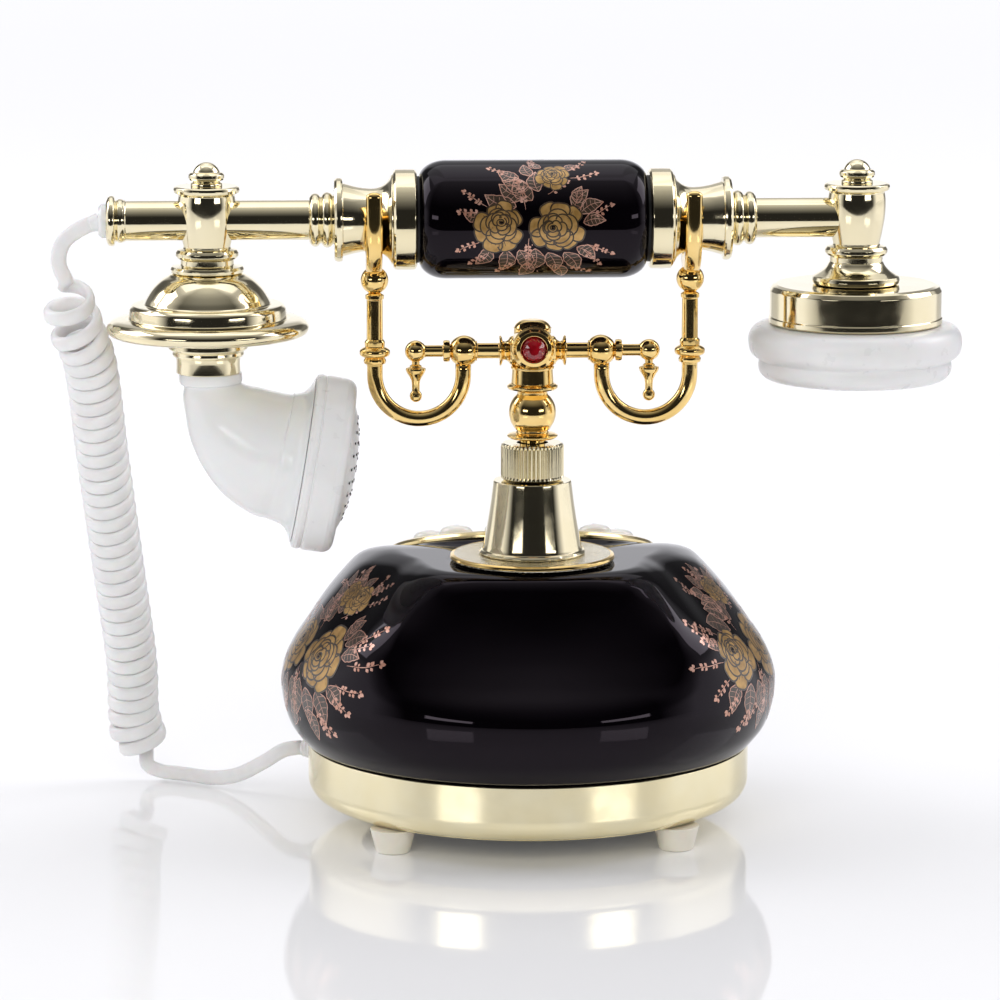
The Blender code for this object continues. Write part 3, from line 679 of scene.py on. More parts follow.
# =========================================================================
# base
# =========================================================================
lathe("base_ring_hq", [(71.5, 26.3, 0.35), (71.5, 15.2)] + arc_pts(65.2, 14.6, 6.3, 2, -86, 10) + [(66.0, 8.0), (54.0, 8.0, 0.5), (54.0, 10.2, 0.5), (66.2, 10.2), (68.9, 13.2), (68.9, 26.3, 0.35)],
      (0, 0, 0), UP, "ring", "base", ("base_ring",), closed=True, seg=192)
lathe("base_plate_hq", solid([(66.0, 10.8), (66.0, 12.4), (60.0, 12.4), (59.0, 12.0), (20.0, 12.0)]), (0, 0, 0), UP, "plate", "base", ("base_plate",))
# near-black ring in the gap between the body and the ring: painted shade for the dark gap line
lathe("painted_shade_gap_ring", [(70.2, 26.35), (70.2, 27.4), (62.0, 27.4), (62.0, 26.35)], (0, 0, 0), UP, "gap", "base", closed=True, seg=128, fil=0.1)
for i, a in enumerate((45, 135, 225, 315)):
    c = (FOOT_R * math.cos(math.radians(a)), FOOT_R * math.sin(math.radians(a)), 0)
    lathe("foot_hq_%d" % (i + 1), [(0, 0.5), (3.2, 0.5, 0.3), (3.4, 0.0, 0.2), (5.4, 0.0, 0.7), (7.3, 7.7, 0.3), (0, 7.7)], c, UP, "cream", "base", ("foot_%d" % (i + 1),), seg=64)
lathe("gland_hq", [(0, 71.6), (4.4, 71.6, 0.4), (4.4, 74.3, 0.5), (3.4, 74.9, 0.3), (3.4, 75.4, 0.2), (3.0, 75.6, 0.2), (3.2, 76.2, 0.3), (2.9, 76.8, 0.3), (3.0, 77.4, 0.3), (2.6, 78.0, 0.3), (0, 78.0)],
      (0, 0, 17.6), (math.cos(math.radians(-20)), math.sin(math.radians(-20)), 0), "white", "base", ("cord_gland",), seg=48)

# ---- ceramic body: the same field as the frame, finely sampled ------------
LEV = np.array((26.0, 34.0, 42.0, 47.0, 52.0, 58.0, 65.0, 72.0, 79.0, 86.0, 91.0, 97.0))
ANG = np.array((-90.0, -45.0, 0.0, 30.0, 45.0, 52.0, 60.0, 75.0, 90.0))
RAD = np.array((
    (71.5, 77.6, 79.8, 80.3, 80.6, 80.8, 81.0, 80.6, 79.0, 77.0, 75.0, 72.0),
    (71.5, 77.6, 79.8, 80.2, 79.9, 79.0, 76.5, 73.0, 68.0, 62.0, 57.0, 50.0),
    (71.5, 77.6, 79.8, 80.2, 79.3, 76.8, 72.0, 67.0, 61.0, 54.0, 46.5, 36.0),
    (71.5, 77.6, 79.8, 80.2, 79.2, 77.2, 72.8, 66.6, 60.0, 53.0, 46.5, 39.0),
    (71.5, 77.6, 79.8, 80.1, 79.2, 77.8, 75.6, 70.8, 64.6, 57.4, 51.5, 46.0),
    (71.5, 77.6, 79.8, 80.0, 79.2, 77.2, 74.6, 72.0, 66.6, 60.0, 55.6, 53.0),
    (71.5, 77.6, 79.8, 79.9, 78.8, 75.4, 71.2, 67.6, 64.2, 60.6, 57.8, 56.0),
    (71.5, 77.6, 79.7, 79.8, 78.2, 73.0, 67.6, 63.4, 60.2, 58.0, 56.6, 55.6),
    (71.5, 77.6, 79.6, 79.7, 77.8, 72.2, 66.2, 62.0, 59.2, 57.0, 55.8, 55.0),
))


def hermite(xs, ys, x):
    """Vectorised interpolation; ys has one row per knot (K, N) or (K,)."""
    ys = np.asarray(ys, float)
    if ys.ndim == 1:
        ys = ys[:, None] * np.ones((1, len(x)))
    K = len(xs)
    h = np.diff(xs)
    d = np.diff(ys, axis=0) / h[:, None]
    sl = np.empty_like(ys)
    sl[0], sl[-1] = d[0], d[-1]
    a, b = d[:-1], d[1:]
    with np.errstate(divide="ignore", invalid="ignore"):
        hm = 2 * a * b / (a + b)
    sl[1:-1] = np.where(a * b <= 0, 0.0, hm)
    i = np.clip(np.searchsorted(xs, x, side="right") - 1, 0, K - 2)
    n = np.arange(len(x))
    hh = h[i]
    t = (x - xs[i]) / hh
    tc_ = np.clip(t, 0, 1)
    y0, y1, s0, s1 = ys[i, n], ys[i + 1, n], sl[i, n], sl[i + 1, n]
    v = (1 + 2 * tc_) * (1 - tc_) ** 2 * y0 + tc_ * (1 - tc_) ** 2 * hh * s0 + tc_ ** 2 * (3 - 2 * tc_) * y1 + tc_ ** 2 * (tc_ - 1) * hh * s1
    v = v + np.where(t < 0, t * hh * s0, 0) + np.where(t > 1, (t - 1) * hh * s1, 0)
    return v


# fine table, lightly blurred so that highlights flow
TA = np.arange(-90, 90.01, 1.0)
TZ = np.arange(20, 110.01, 0.5)
_rows = np.array([hermite(LEV, r, TZ) for r in RAD])
TAB = np.array([hermite(ANG, _rows, np.full(len(TZ), a)) for a in TA])


def blur(tab, sa, sz):
    def kern(s):
        n = int(3 * s) + 1
        k = np.exp(-0.5 * (np.arange(-n, n + 1) / s) ** 2)
        return k / k.sum(), n
    k, n = kern(sa)
    pad = np.concatenate([tab[1:n + 1][::-1], tab, tab[-n - 1:-1][::-1]], 0)
    tab = sum(k[j] * pad[j:j + len(TA)] for j in range(2 * n + 1))
    k, n = kern(sz)
    lo = tab[:, :1] + (tab[:, :1] - tab[:, 1:2]) * np.arange(n, 0, -1)
    hi = tab[:, -1:] + (tab[:, -1:] - tab[:, -2:-1]) * np.arange(1, n + 1)
    pad = np.concatenate([lo, tab, hi], 1)
    return sum(k[j] * pad[:, j:j + len(TZ)] for j in range(2 * n + 1))


TAB = blur(TAB, 1.8, 2.0)


def side_radius(ang, z):
    a = np.clip(ang, -90, 90) + 90
    b = np.clip((z - 20) / 0.5, 0, len(TZ) - 1.001)
    i, j = np.minimum(a.astype(int), len(TA) - 2), b.astype(int)
    fa, fb = a - i, b - j
    return (TAB[i, j] * (1 - fa) * (1 - fb) + TAB[i + 1, j] * fa * (1 - fb) + TAB[i, j + 1] * (1 - fa) * fb + TAB[i + 1, j + 1] * fa * fb)


def smax(a, b, k):
    h = np.maximum(k - np.abs(a - b), 0) / k
    return np.maximum(a, b) + h * h * k * 0.25


def body_field(p, off=0.0):
    rho = np.hypot(p[:, 0], p[:, 1])
    ang = np.degrees(np.arctan2(p[:, 1], np.abs(p[:, 0])))
    g1 = (rho - side_radius(ang, p[:, 2])) * 0.85 + off
    g2 = p[:, 2] - 90.2 + off
    d = p - np.array(DIAL_O)
    h = d @ np.array(DIAL_N)
    g3 = h + off
    main = smax(smax(g1, g2, 5.0), g3, 4.0)
    rad = np.linalg.norm(d - h[:, None] * np.array(DIAL_N), axis=1)
    seat = smax(rad - 44.8 + off, g3, 2.0)
    seat = np.maximum(seat, -h - 14.0 + off)
    f = smax(-smax(-main, -seat, 5.0), g3, 1.2)
    cut = np.maximum(np.hypot(p[:, 0], p[:, 1] - STEM_Y) - 26.8, 90.3 - p[:, 2])
    return smax(f, -cut, 0.4)


BC = np.array((0.0, 0.0, 50.0))


def body_hit(dirs, off=0.0):
    lo = np.full(len(dirs), 5.0)
    hi = np.full(len(dirs), 130.0)
    for _ in range(24):
        mid = (lo + hi) / 2
        inside = body_field(BC + dirs * mid[:, None], off) < 0
        lo = np.where(inside, mid, lo)
        hi = np.where(inside, hi, mid)
    return BC + dirs * lo[:, None]


def build_body():
    seg, lev = ((360, 230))
    bottom = 27.5
    end = math.atan2(float(side_radius(np.array([0.0]), np.array([bottom]))[0]), bottom - BC[2])
    az = 2 * np.pi * np.arange(seg) / seg
    pol = end * np.arange(1, lev + 1) / lev
    A, Q = np.meshgrid(az, pol)
    dirs = np.stack([np.cos(A) * np.sin(Q), np.sin(A) * np.sin(Q), np.cos(Q)], -1).reshape(-1, 3)
    pts = body_hit(dirs).reshape(lev, seg, 3)
    pts[-1, :, 2] = bottom
    extra = []
    for f, z in ((0.990, bottom - 0.05), (0.978, bottom - 0.2), (0.978, 26.6), (0.93, 26.6), (0.93, 40.0)):
        r = pts[-1].copy()
        r[:, :2] *= f
        r[:, 2] = z
        extra.append(r)
    top = body_hit(np.array([[0.0, 0.0, 1.0]]))
    allp = np.concatenate([top, pts.reshape(-1, 3)] + extra)
    rows = lev + len(extra)
    faces = [(0, 1 + i, 1 + (i + 1) % seg) for i in range(seg)]
    for k in range(rows - 1):
        a, b = 1 + k * seg, 1 + (k + 1) * seg
        for i in range(seg):
            j = (i + 1) % seg
            faces.append((a + i, b + i, b + j, a + j))
    return put("body_glaze_hq", [Vector(p) for p in allp], faces, "glaze", "base", ("body_shell",))


build_body()

# ---- dial ------------------------------------------------------------------
lathe("dial_bezel_hq", [(39.2, 0.1), (43.9, 0.1, 0.2), (44.0, 1.0, 0.3), (43.5, 2.0, 0.3), (42.4, 2.5, 0.4), (41.6, 2.7, 0.3), (41.0, 2.3, 0.2), (40.6, 1.3, 0.2), (39.2, 1.3)],
      DIAL_O, DIAL_N, "dial", "base", ("dial_bezel",), closed=True, seg=160)


def dial(u, v, h):
    return DIAL_O + Vector((1, 0, 0)) * u + DIAL_U * v + DIAL_N * h


def build_plate():
    n0, n1 = 96, 32
    outline = [Vector((40.7 * math.cos(2 * math.pi * i / n0), 40.7 * math.sin(2 * math.pi * i / n0), 0)) for i in range(n0)]
    holes = []
    for k in range(12):
        a = math.radians(BTN_PHASE + 30 * k)
        cx, cy = BTN_RING * math.cos(a), BTN_RING * math.sin(a)
        holes.append([Vector((cx + 5.85 * math.cos(2 * math.pi * i / n1), cy + 5.85 * math.sin(2 * math.pi * i / n1), 0)) for i in range(n1)])
    loops = [outline] + holes
    flat = [p for lp in loops for p in lp]
    tris = tessellate_polygon(loops)
    n = len(flat)
    verts = [dial(p.x, p.y, 1.7) for p in flat] + [dial(p.x, p.y, 2.7) for p in flat]
    faces = [tuple(t) for t in tris] + [tuple(n + i for i in reversed(t)) for t in tris]
    s = 0
    for lp in loops:
        k = len(lp)
        for i in range(k):
            j = (i + 1) % k
            faces.append((s + i, s + j, n + s + j, n + s + i))
        s += k
    put("dial_plate_hq", verts, faces, "dial", "base", ("dial_plate",), smooth=False)


build_plate()
for k in range(12):
    a = math.radians(BTN_PHASE + 30 * k)
    c = dial(BTN_RING * math.cos(a), BTN_RING * math.sin(a), 0)
    # fine gold collar round each key
    lathe("key_collar_%02d" % (k + 1), [(5.75, 2.5), (6.7, 2.5), (6.6, 3.05, 0.2), (6.1, 3.25, 0.2), (5.75, 3.0, 0.15)], c, DIAL_N, "dial", "base", closed=True, seg=48, fil=0.1)
    body = "button_%02d_key" % (k + 1)
    lathe("button_hq_%02d" % (k + 1), [(0, -1.9), (6.4, -1.9), (6.4, -0.6), (BTN_R, -0.5), (BTN_R, 4.3, 0.5)] + curve_pts([(5.1, 4.9), (4.4, 5.6), (3.0, 6.15), (1.5, 6.4), (0.0, 6.5)], 4),
          c, DIAL_N, "button", body, ("button_%02d" % (k + 1),), seg=64, fil=0.15)
lathe("medallion_hq", [(0, 2.7), (14.0, 2.7), (14.0, 3.6, 0.4), (13.2, 4.3, 0.3), (12.6, 4.2, 0.2)] + curve_pts([(12.2, 4.5), (9.0, 5.4), (5.0, 5.85), (0.0, 6.0)], 5),
      DIAL_O, DIAL_N, "cream", "base", ("dial_centre",), seg=96)
lathe("medallion_rim", [(12.4, 4.0), (14.2, 2.8), (14.6, 3.4, 0.3), (13.9, 4.5, 0.4), (12.8, 4.6, 0.3)], DIAL_O, DIAL_N, "dial", "base", closed=True, seg=96, fil=0.15)
for r0 in (18.5, 22.5):
    lathe("dial_groove_%d" % int(r0), [(r0, 2.65), (r0 + 0.9, 2.65), (r0 + 0.7, 3.0, 0.15), (r0 + 0.2, 3.0, 0.15)], DIAL_O, DIAL_N, "dial", "base", closed=True, seg=120, fil=0.1)
for n_, mt in (("keypad_board", "board"), ("microphone", "felt"), ("receiver_capsule", "felt")):
    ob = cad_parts[n_]
    for s_ in ob.material_slots:
        s_.material = MAT[mt]


def numbers():
    labels = {2: "1", 3: "2", 4: "3", 5: "4", 6: "5", 7: "6", 8: "7", 9: "8", 10: "9", 11: "0", 0: "#", 1: "*"}
    prof = [(5.1, 4.9), (4.4, 5.6), (3.0, 6.15), (1.5, 6.4), (0.0, 6.5)]
    rs = np.array([p[0] for p in prof][::-1])
    hs = np.array([p[1] for p in prof][::-1])
    for k in range(12):
        cu = bpy.data.curves.new("num", "FONT")
        cu.body = labels[k]
        cu.size = 5.2
        cu.align_x, cu.align_y = "CENTER", "CENTER"
        ob = bpy.data.objects.new("num", cu)
        bpy.context.scene.collection.objects.link(ob)
        dg = bpy.context.evaluated_depsgraph_get()
        me = bpy.data.meshes.new_from_object(ob.evaluated_get(dg))
        bm = bmesh.new()
        bm.from_mesh(me)
        bmesh.ops.subdivide_edges(bm, edges=bm.edges, cuts=1)
        bmesh.ops.triangulate(bm, faces=bm.faces)
        bm.verts.ensure_lookup_table()
        a = math.radians(BTN_PHASE + 30 * k)
        cx, cy = BTN_RING * math.cos(a), BTN_RING * math.sin(a)
        vs = []
        for v in bm.verts:
            r = math.hypot(v.co.x, v.co.y)
            h = float(np.interp(r, rs, hs)) + 0.07
            vs.append(dial(cx + v.co.x, cy + v.co.y, h))
        fs = [tuple(v.index for v in f.verts) for f in bm.faces]
        bm.free()
        bpy.data.objects.remove(ob, do_unlink=True)
        put("key_number_%02d" % (k + 1), vs, fs, "ink", "button_%02d_key" % (k + 1), smooth=False)


numbers()

# =========================================================================
# stem
# =========================================================================
S = (0, STEM_Y, 0)
lathe("stem_flange_hq", [(6.0, 90.6), (25.4, 90.6, 0.3), (26.1, 91.0, 0.3), (26.15, 91.7, 0.5), (25.0, 92.6, 0.5), (6.0, 92.6)], S, UP, "pebble", "base", ("stem_flange",), closed=True, seg=160)
lathe("stem_flange_rim", [(24.6, 92.2), (25.9, 91.0), (26.3, 91.5, 0.3), (26.0, 92.3, 0.4), (25.0, 92.75, 0.3)], S, UP, "rich", "base", closed=True, seg=160, fil=0.2)
lathe("stem_cone_hq", [(5.0, 92.7), (16.6, 92.7, 0.2), (16.9, 93.2, 0.3), (16.4, 93.9, 0.3), (15.9, 94.2, 0.4)] + curve_pts([(15.6, 95.0), (14.8, 99.5), (13.9, 105.0), (13.1, 110.5), (12.45, 115.6)], 5)[0:] + [(12.3, 116.2, 0.3), (5.0, 116.2)],
      S, UP, "pale", "base", ("stem_cone",), closed=True, seg=128)


def knurled():
    n, per = 46, 6
    seg = n * per
    prof = [(5.0, 116.5), (9.2, 116.5), (9.9, 117.0), (10.0, 117.8), (10.0, 127.0), (9.8, 127.7), (9.2, 128.2), (5.0, 128.2)]
    depth = [0, 0, 0.2, 1, 1, 0.2, 0, 0]
    P = [Vector(p) for p in prof]
    rings = []
    for (r, h), dpt in zip(prof, depth):
        ring = []
        for i in range(seg):
            ph = (i % per) / per
            k = 0.62 * dpt * (0.5 - 0.5 * math.cos(2 * math.pi * ph))
            a = 2 * math.pi * i / seg
            rr = r - k
            ring.append(Vector((rr * math.cos(a), STEM_Y + rr * math.sin(a), h)))
        rings.append(ring)
    ob = loft("knurled_collar_hq", rings, "pale", "base", ("knurled_collar",), closed=True)
    ob.data.polygons.foreach_set("use_smooth", [False] * len(ob.data.polygons))


knurled()

# =========================================================================
# cradle
# =========================================================================
lathe("cradle_column_hq", [(0, 62), (4.0, 62), (4.0, 129.5, 0), (7.2, 129.7, 0.1), (8.05, 130.2, 0.3), (8.05, 130.7, 0.3), (7.0, 131.2, 0.3), (5.2, 131.5, 0.3), (4.9, 132.2, 0.3), (5.6, 132.6, 0.3)]
      + curve_pts([(5.9, 133.2), (6.9, 134.9), (7.5, 137.6), (7.15, 140.3), (6.0, 142.5), (4.8, 143.8)], 5) + [(4.8, 144.6, 0.3), (6.0, 145.1, 0.2), (7.6, 145.4, 0.2), (8.05, 145.9, 0.3), (8.05, 146.5, 0.3), (7.4, 147.0, 0.2), (6.7, 147.3, 0.3), (6.4, 152.0, 0.3), (0, 152.0)],
      S, UP, "rich", "cradle", ("cradle_column",))
lathe("hub_post", [(0, 151.8), (6.9, 151.8), (6.9, 152.6, 0.3), (5.9, 153.2, 0.3), (5.9, 164.6, 0.3), (6.1, 165.0, 0.2)] + arc_pts(2.2, 163.6, 3.9, 22, 90, 6) + [(0, 167.5)],
      S, UP, "rich", "cradle", ("hub",))
lathe("hub_boss", [(0, 0.5), (6.9, 0.5), (6.9, 8.0, 0.4), (6.3, 8.5, 0.2), (6.4, 9.2, 0.3), (5.5, 10.3, 0.5), (4.3, 10.6, 0.3), (3.85, 10.2, 0.2), (3.8, 8.9, 0.2), (0, 8.9)],
      (0, STEM_Y, 159.3), (0, 1, 0), "rich", "cradle")
# cut red glass: facets round a flat table
jv, jf = [], []
fj = []
for (r, h, n_, ph) in ((3.75, 9.0, 14, 0.0), (3.7, 10.4, 14, 0.0), (2.9, 11.4, 14, 0.5), (1.6, 12.0, 14, 0.0)):
    fj.append([Vector((r * math.cos(2 * math.pi * (i + ph) / n_), STEM_Y + h, 159.3 + r * math.sin(2 * math.pi * (i + ph) / n_))) for i in range(n_)])
jo = loft("jewel_hq", fj, "jewel", "cradle", ("jewel",))
jo.data.polygons.foreach_set("use_smooth", [False] * len(jo.data.polygons))


def ball_pts(r, c, a0, a1, n=8):
    return [(r * math.cos(math.radians(a0 + (a1 - a0) * i / n)), c + r * math.sin(math.radians(a0 + (a1 - a0) * i / n))) for i in range(n + 1)]


for s in (-1, 1):
    nm = "left" if s < 0 else "right"
    lathe("arm_hq_" + nm, [(0, 5.5), (4.6, 5.5), (4.7, 6.6, 0.3), (4.3, 7.2, 0.3)] + curve_pts([(3.5, 7.7), (2.95, 8.6), (3.2, 9.3)], 4) + [(4.4, 9.7, 0.2), (4.85, 10.1, 0.25), (4.7, 10.5, 0.2), (2.45, 10.7, 0.15), (2.45, 17.4, 0.1), (3.2, 17.6, 0.15), (3.2, 18.2, 0.15)]
          + ball_pts(4.95, 21.6, -44, 56, 10) + [(2.2, 25.8, 0.2), (2.2, 26.0, 0.1), (3.3, 26.2, 0.2), (3.5, 27.2, 0.5), (3.3, 28.2, 0.2), (1.85, 28.4, 0.15), (1.85, 33.4, 0.1)] + ball_pts(3.45, 36.9, -55, 90, 12),
          (0, STEM_Y, ARM_Z), (s, 0, 0), "rich", "cradle", ("arm_" + nm,), seg=64)
    lathe("drop_hq_" + nm, [(0, 156.0), (1.3, 156.0), (1.25, 153.4, 0.2), (1.9, 153.0, 0.2), (1.9, 152.6, 0.1), (3.15, 152.2, 0.2), (3.2, 151.6, 0.3)] + curve_pts([(2.9, 150.8), (2.0, 149.4), (1.4, 148.2)], 4) + [(1.25, 147.0), (1.25, 145.3, 0.1)] + ball_pts(1.98, 143.3, 50, -90, 10),
          (s * 36.9, STEM_Y, 0), UP, "rich", "cradle", seg=48)
    # U hook
    pts = [(s * 21.9, STEM_Y, 154.0), (s * 21.9, STEM_Y, 151.5)]
    nn = 40
    for i in range(nn + 1):
        a = math.pi + math.pi * i / nn
        pts.append((s * (35.85 + 13.95 * math.cos(a)), STEM_Y, 150.0 + 13.95 * math.sin(a)))
    pts += [(s * 49.8, STEM_Y, z) for z in (152.0, 156.0, 160.0)]
    loft("hook_hq_" + nm, sweep(pts, 2.5, 32), "rich", "cradle", ("hook_" + nm,))
    lathe("hook_leg_hq_" + nm, [(0, 153.0), (2.6, 153.0), (2.6, 153.6, 0.1), (3.4, 153.8, 0.2), (3.6, 154.6, 0.5), (3.4, 155.3, 0.2), (3.0, 155.5, 0.1)] + curve_pts([(3.6, 155.8), (4.6, 156.4), (4.85, 157.3), (4.6, 158.2), (3.6, 158.9)], 4) + [(3.0, 159.1, 0.1), (3.2, 159.4, 0.2), (3.25, 160.6, 0.3), (2.9, 161.2, 0.2), (2.6, 161.5, 0.2), (2.55, 174.0, 0.2), (2.95, 174.4, 0.2), (2.95, 175.6, 0.3), (2.0, 176.2, 0.2), (0, 176.6)],
          (s * 49.8, STEM_Y, 0), UP, "rich", "cradle", seg=64)
    lathe("fork_ball_hq_" + nm, ball_pts(4.4, 180.3, -89.9, 89.9, 20), (s * 49.8, STEM_Y, 0), UP, "rich", "cradle", seg=64)

    # fork: outline extruded, edges rounded by a bevel
    ri, ro = 10.9, 14.1
    prof = [(ro, 199.4), (ro, 207.6)] + [(ro - 1.6 + 1.6 * math.cos(math.radians(t)), 207.8 + 1.6 * math.sin(math.radians(t))) for t in (10, 40, 70, 90, 110, 140, 170)] + [(ri, 207.4)]
    for i in range(25):
        a = -math.pi * i / 24
        prof.append((ri * math.cos(a), AXIS_Z + ri * math.sin(a)))
    prof += [(-ri, 203.4)] + [(-ro + 1.6 + 1.6 * math.cos(math.radians(t)), 203.8 + 1.6 * math.sin(math.radians(t))) for t in (10, 40, 70, 90, 110, 140, 170)] + [(-ro, 199.4)]
    for i in range(1, 20):
        a = math.pi + math.pi * i / 20
        prof.append((ro * math.cos(a), 196.0 + 14.4 * math.sin(a)))
    # inward normals of the outline give a rounded bar
    pv_ = [Vector(q) for q in prof]
    area2 = sum(a.x * b.y - b.x * a.y for a, b in zip(pv_, pv_[1:] + pv_[:1]))
    inn = []
    for i in range(len(pv_)):
        t = (pv_[(i + 1) % len(pv_)] - pv_[i - 1]).normalized()
        n_ = Vector((-t.y, t.x)) * (1 if area2 > 0 else -1)
        inn.append(n_)
    w_, b_ = 2.55, 1.5
    rings = []
    for dg in (-84, -70, -55, -40, -25, -10, 10, 25, 40, 55, 70, 84):
        th = math.radians(dg)
        d_ = b_ * (1 - math.cos(th))
        rings.append([Vector((s * 50.0 + w_ * math.sin(th), STEM_Y + q.x + n_.x * d_, q.y + n_.y * d_)) for q, n_ in zip(pv_, inn)])
    loft("fork_hq_" + nm, rings, "rich", "cradle", ("fork_" + nm,))

# =========================================================================
# handset
# =========================================================================
H = (0, STEM_Y, AXIS_Z)
PX = (1, 0, 0)
g_end = [(12.6 + 6.0 * math.cos(math.radians(t)), 27.4 + 8.5 * math.sin(math.radians(t))) for t in range(0, 88, 6)]
grip_prof = [(10.5, -35.9)] + [(r, -h) for r, h in g_end[::-1]] + g_end + [(10.5, 35.9)]
lathe("grip_hq", grip_prof, H, PX, "glaze", "handset", ("handset_grip",), closed=True, seg=160)
lathe("tube_hq", [(0, -97), (6.25, -97), (6.25, 97), (0, 97)], H, PX, "pale", "handset", ("handset_tube",), seg=96)
for s in (-1, 1):
    nm = "left" if s < 0 else "right"
    d = (s, 0, 0)
    lathe("grip_gap_" + nm, [(6.4, 35.2), (13.6, 35.2), (13.6, 37.2), (6.4, 37.2)], H, d, "gap", "handset", closed=True, seg=96, fil=0.1)
    lathe("grip_ring_hq_" + nm, [(6.6, 36.5), (15.1, 36.5, 0.3), (15.8, 37.2, 0.4), (15.85, 40.2), (15.8, 43.2, 0.4), (15.1, 43.95, 0.3), (6.6, 44.0)],
          H, d, "pale", "handset", ("grip_ring_" + nm,), closed=True)
    lathe("neck_hq_" + nm, [(6.6, 44.0), (14.3, 44.0, 0.2)] + curve_pts([(14.1, 44.5), (12.3, 45.5), (10.9, 47.0), (10.1, 48.8), (9.85, 50.5), (10.0, 53.0), (10.45, 55.6), (11.1, 58.0), (11.5, 59.4)], 4)
          + [(11.6, 59.7, 0.1), (12.9, 59.8, 0.2), (13.2, 60.4, 0.3), (13.2, 61.6, 0.3), (12.6, 62.4, 0.4), (7.6, 62.6, 0.3)] + curve_pts([(7.5, 62.8), (8.3, 63.4), (8.75, 64.6), (8.3, 65.8), (7.4, 66.4)], 4)[1:]
          + [(7.3, 66.6, 0.1)] + curve_pts([(7.5, 66.8), (8.15, 67.4), (8.4, 68.4), (8.1, 69.4), (7.3, 70.1)], 4) + [(6.3, 70.3, 0.1), (6.3, 70.4)],
          H, d, "pale", "handset", ("neck_" + nm,), closed=True)
M = (END_X, STEM_Y, 0)
E = (-END_X, STEM_Y, 0)
lathe("end_tube_hq", [(0, 104), (6.25, 104), (6.25, 127.6, 0.1), (6.5, 127.9, 0.1)] + curve_pts([(6.5, 128.2), (6.85, 128.9), (6.9, 129.8), (6.5, 130.5)], 4) + [(6.3, 130.8, 0.1)] + curve_pts([(6.8, 130.9), (7.7, 131.3), (7.95, 132.2), (7.6, 133.1), (6.6, 133.7)], 4) + [(0, 133.7)],
      H, PX, "pale", "handset", ("end_tube",), seg=96)
lathe("plug_hq", [(0, 133.6), (5.4, 133.6), (5.4, 135.3, 0.8), (4.4, 136.2, 0.6), (2.6, 136.3), (0, 136.3)], H, PX, "white", "handset", ("cord_plug",), seg=64)
lathe("plug_boot", [(0, 0), (2.9, 0), (2.7, 1.4, 0.3), (2.2, 3.2, 0.4), (0, 3.2)], (136.0, STEM_Y + 0.3, 199.2), (0.9, 0.05, -0.25), "white", "handset", seg=32)

for nm, C, node in (("mouth", M, "mouth_barrel"), ("ear", E, "ear_barrel")):
    top = [(0, 210.3), (9.6, 210.3), (10.2, 210.0, 0.3), (10.45, 209.2, 0.4), (10.2, 208.3, 0.3), (9.2, 207.9, 0.2)] + curve_pts([(8.8, 207.4), (9.1, 205.2), (9.1, 202.2), (8.8, 198.8), (8.15, 195.0), (7.35, 191.1)], 4) + [(7.6, 190.7, 0.2), (9.3, 190.3, 0.3), (9.9, 189.4, 0.5), (9.9, 188.4, 0.5), (9.3, 187.6, 0.3), (8.4, 187.2, 0.2), (8.35, 185.5, 0.3)]
    if nm == "mouth":
        prof = top + [(9.4, 185.3, 0.2), (11.2, 185.1, 0.2), (11.6, 184.2, 0.5), (11.3, 183.2, 0.3), (10.4, 182.9, 0.2), (0, 182.9)]
    else:
        prof = top + curve_pts([(8.6, 185.2), (9.3, 184.0), (10.6, 182.7), (12.3, 181.6), (13.2, 181.1)], 4) + [(13.6, 180.8, 0.2), (13.9, 179.8, 0.5), (13.6, 178.7, 0.3), (12.9, 178.4, 0.2), (0, 178.4)]
    lathe(node + "_hq", prof, C, UP, "pale", "handset", (node,))
    lathe(nm + "_finial_hq", [(0, 210.2), (5.0, 210.2), (4.9, 211.2, 0.4), (4.1, 211.7, 0.3), (4.4, 212.0, 0.2), (5.3, 212.2, 0.2), (5.65, 212.9, 0.4), (5.6, 213.9, 0.4), (5.0, 214.5, 0.2), (4.3, 214.7, 0.15)] + arc_pts(0, 213.4, 4.4, 19, 90, 10),
          C, UP, "pale", "handset", (nm + "_finial",), seg=96)

# mouthpiece bell
lathe("mouth_bell_hq", [(0, 182.9), (10.6, 182.9), (11.7, 182.6, 0.3)] + curve_pts([(12.2, 182.2), (14.5, 180.8), (17.0, 178.3), (18.8, 175.6), (19.8, 173.6)], 6) + [(20.2, 173.2, 0.4), (22.6, 173.2, 0.3)] + curve_pts([(23.6, 173.0), (24.5, 172.0), (24.8, 170.4), (24.9, 169.0)], 4)
      + [(25.1, 168.7, 0.3)] + curve_pts([(26.0, 168.8), (29.2, 168.3), (31.0, 167.3), (31.85, 165.8), (31.4, 164.2), (30.0, 163.3)], 5) + curve_pts([(28.6, 163.0), (22.0, 162.2), (14.0, 161.9)], 4) + [(0, 161.9)],
      M, UP, "pale", "handset", ("mouth_bell",), seg=160)
lathe("mouth_collar_hq", [(0, 162.2), (12.9, 162.2, 0.2), (13.0, 161.2, 0.4), (12.5, 160.6, 0.2), (12.6, 159.2, 0.3), (12.0, 158.6, 0.3), (11.2, 158.2, 0.2), (11.35, 157.2, 0.4), (11.0, 156.6, 0.3), (10.25, 156.4, 0.2), (10.05, 154.8, 0.2), (10.15, 151.3, 0.2), (0, 151.3)],
      M, UP, "pale", "handset", ("mouth_collar",))


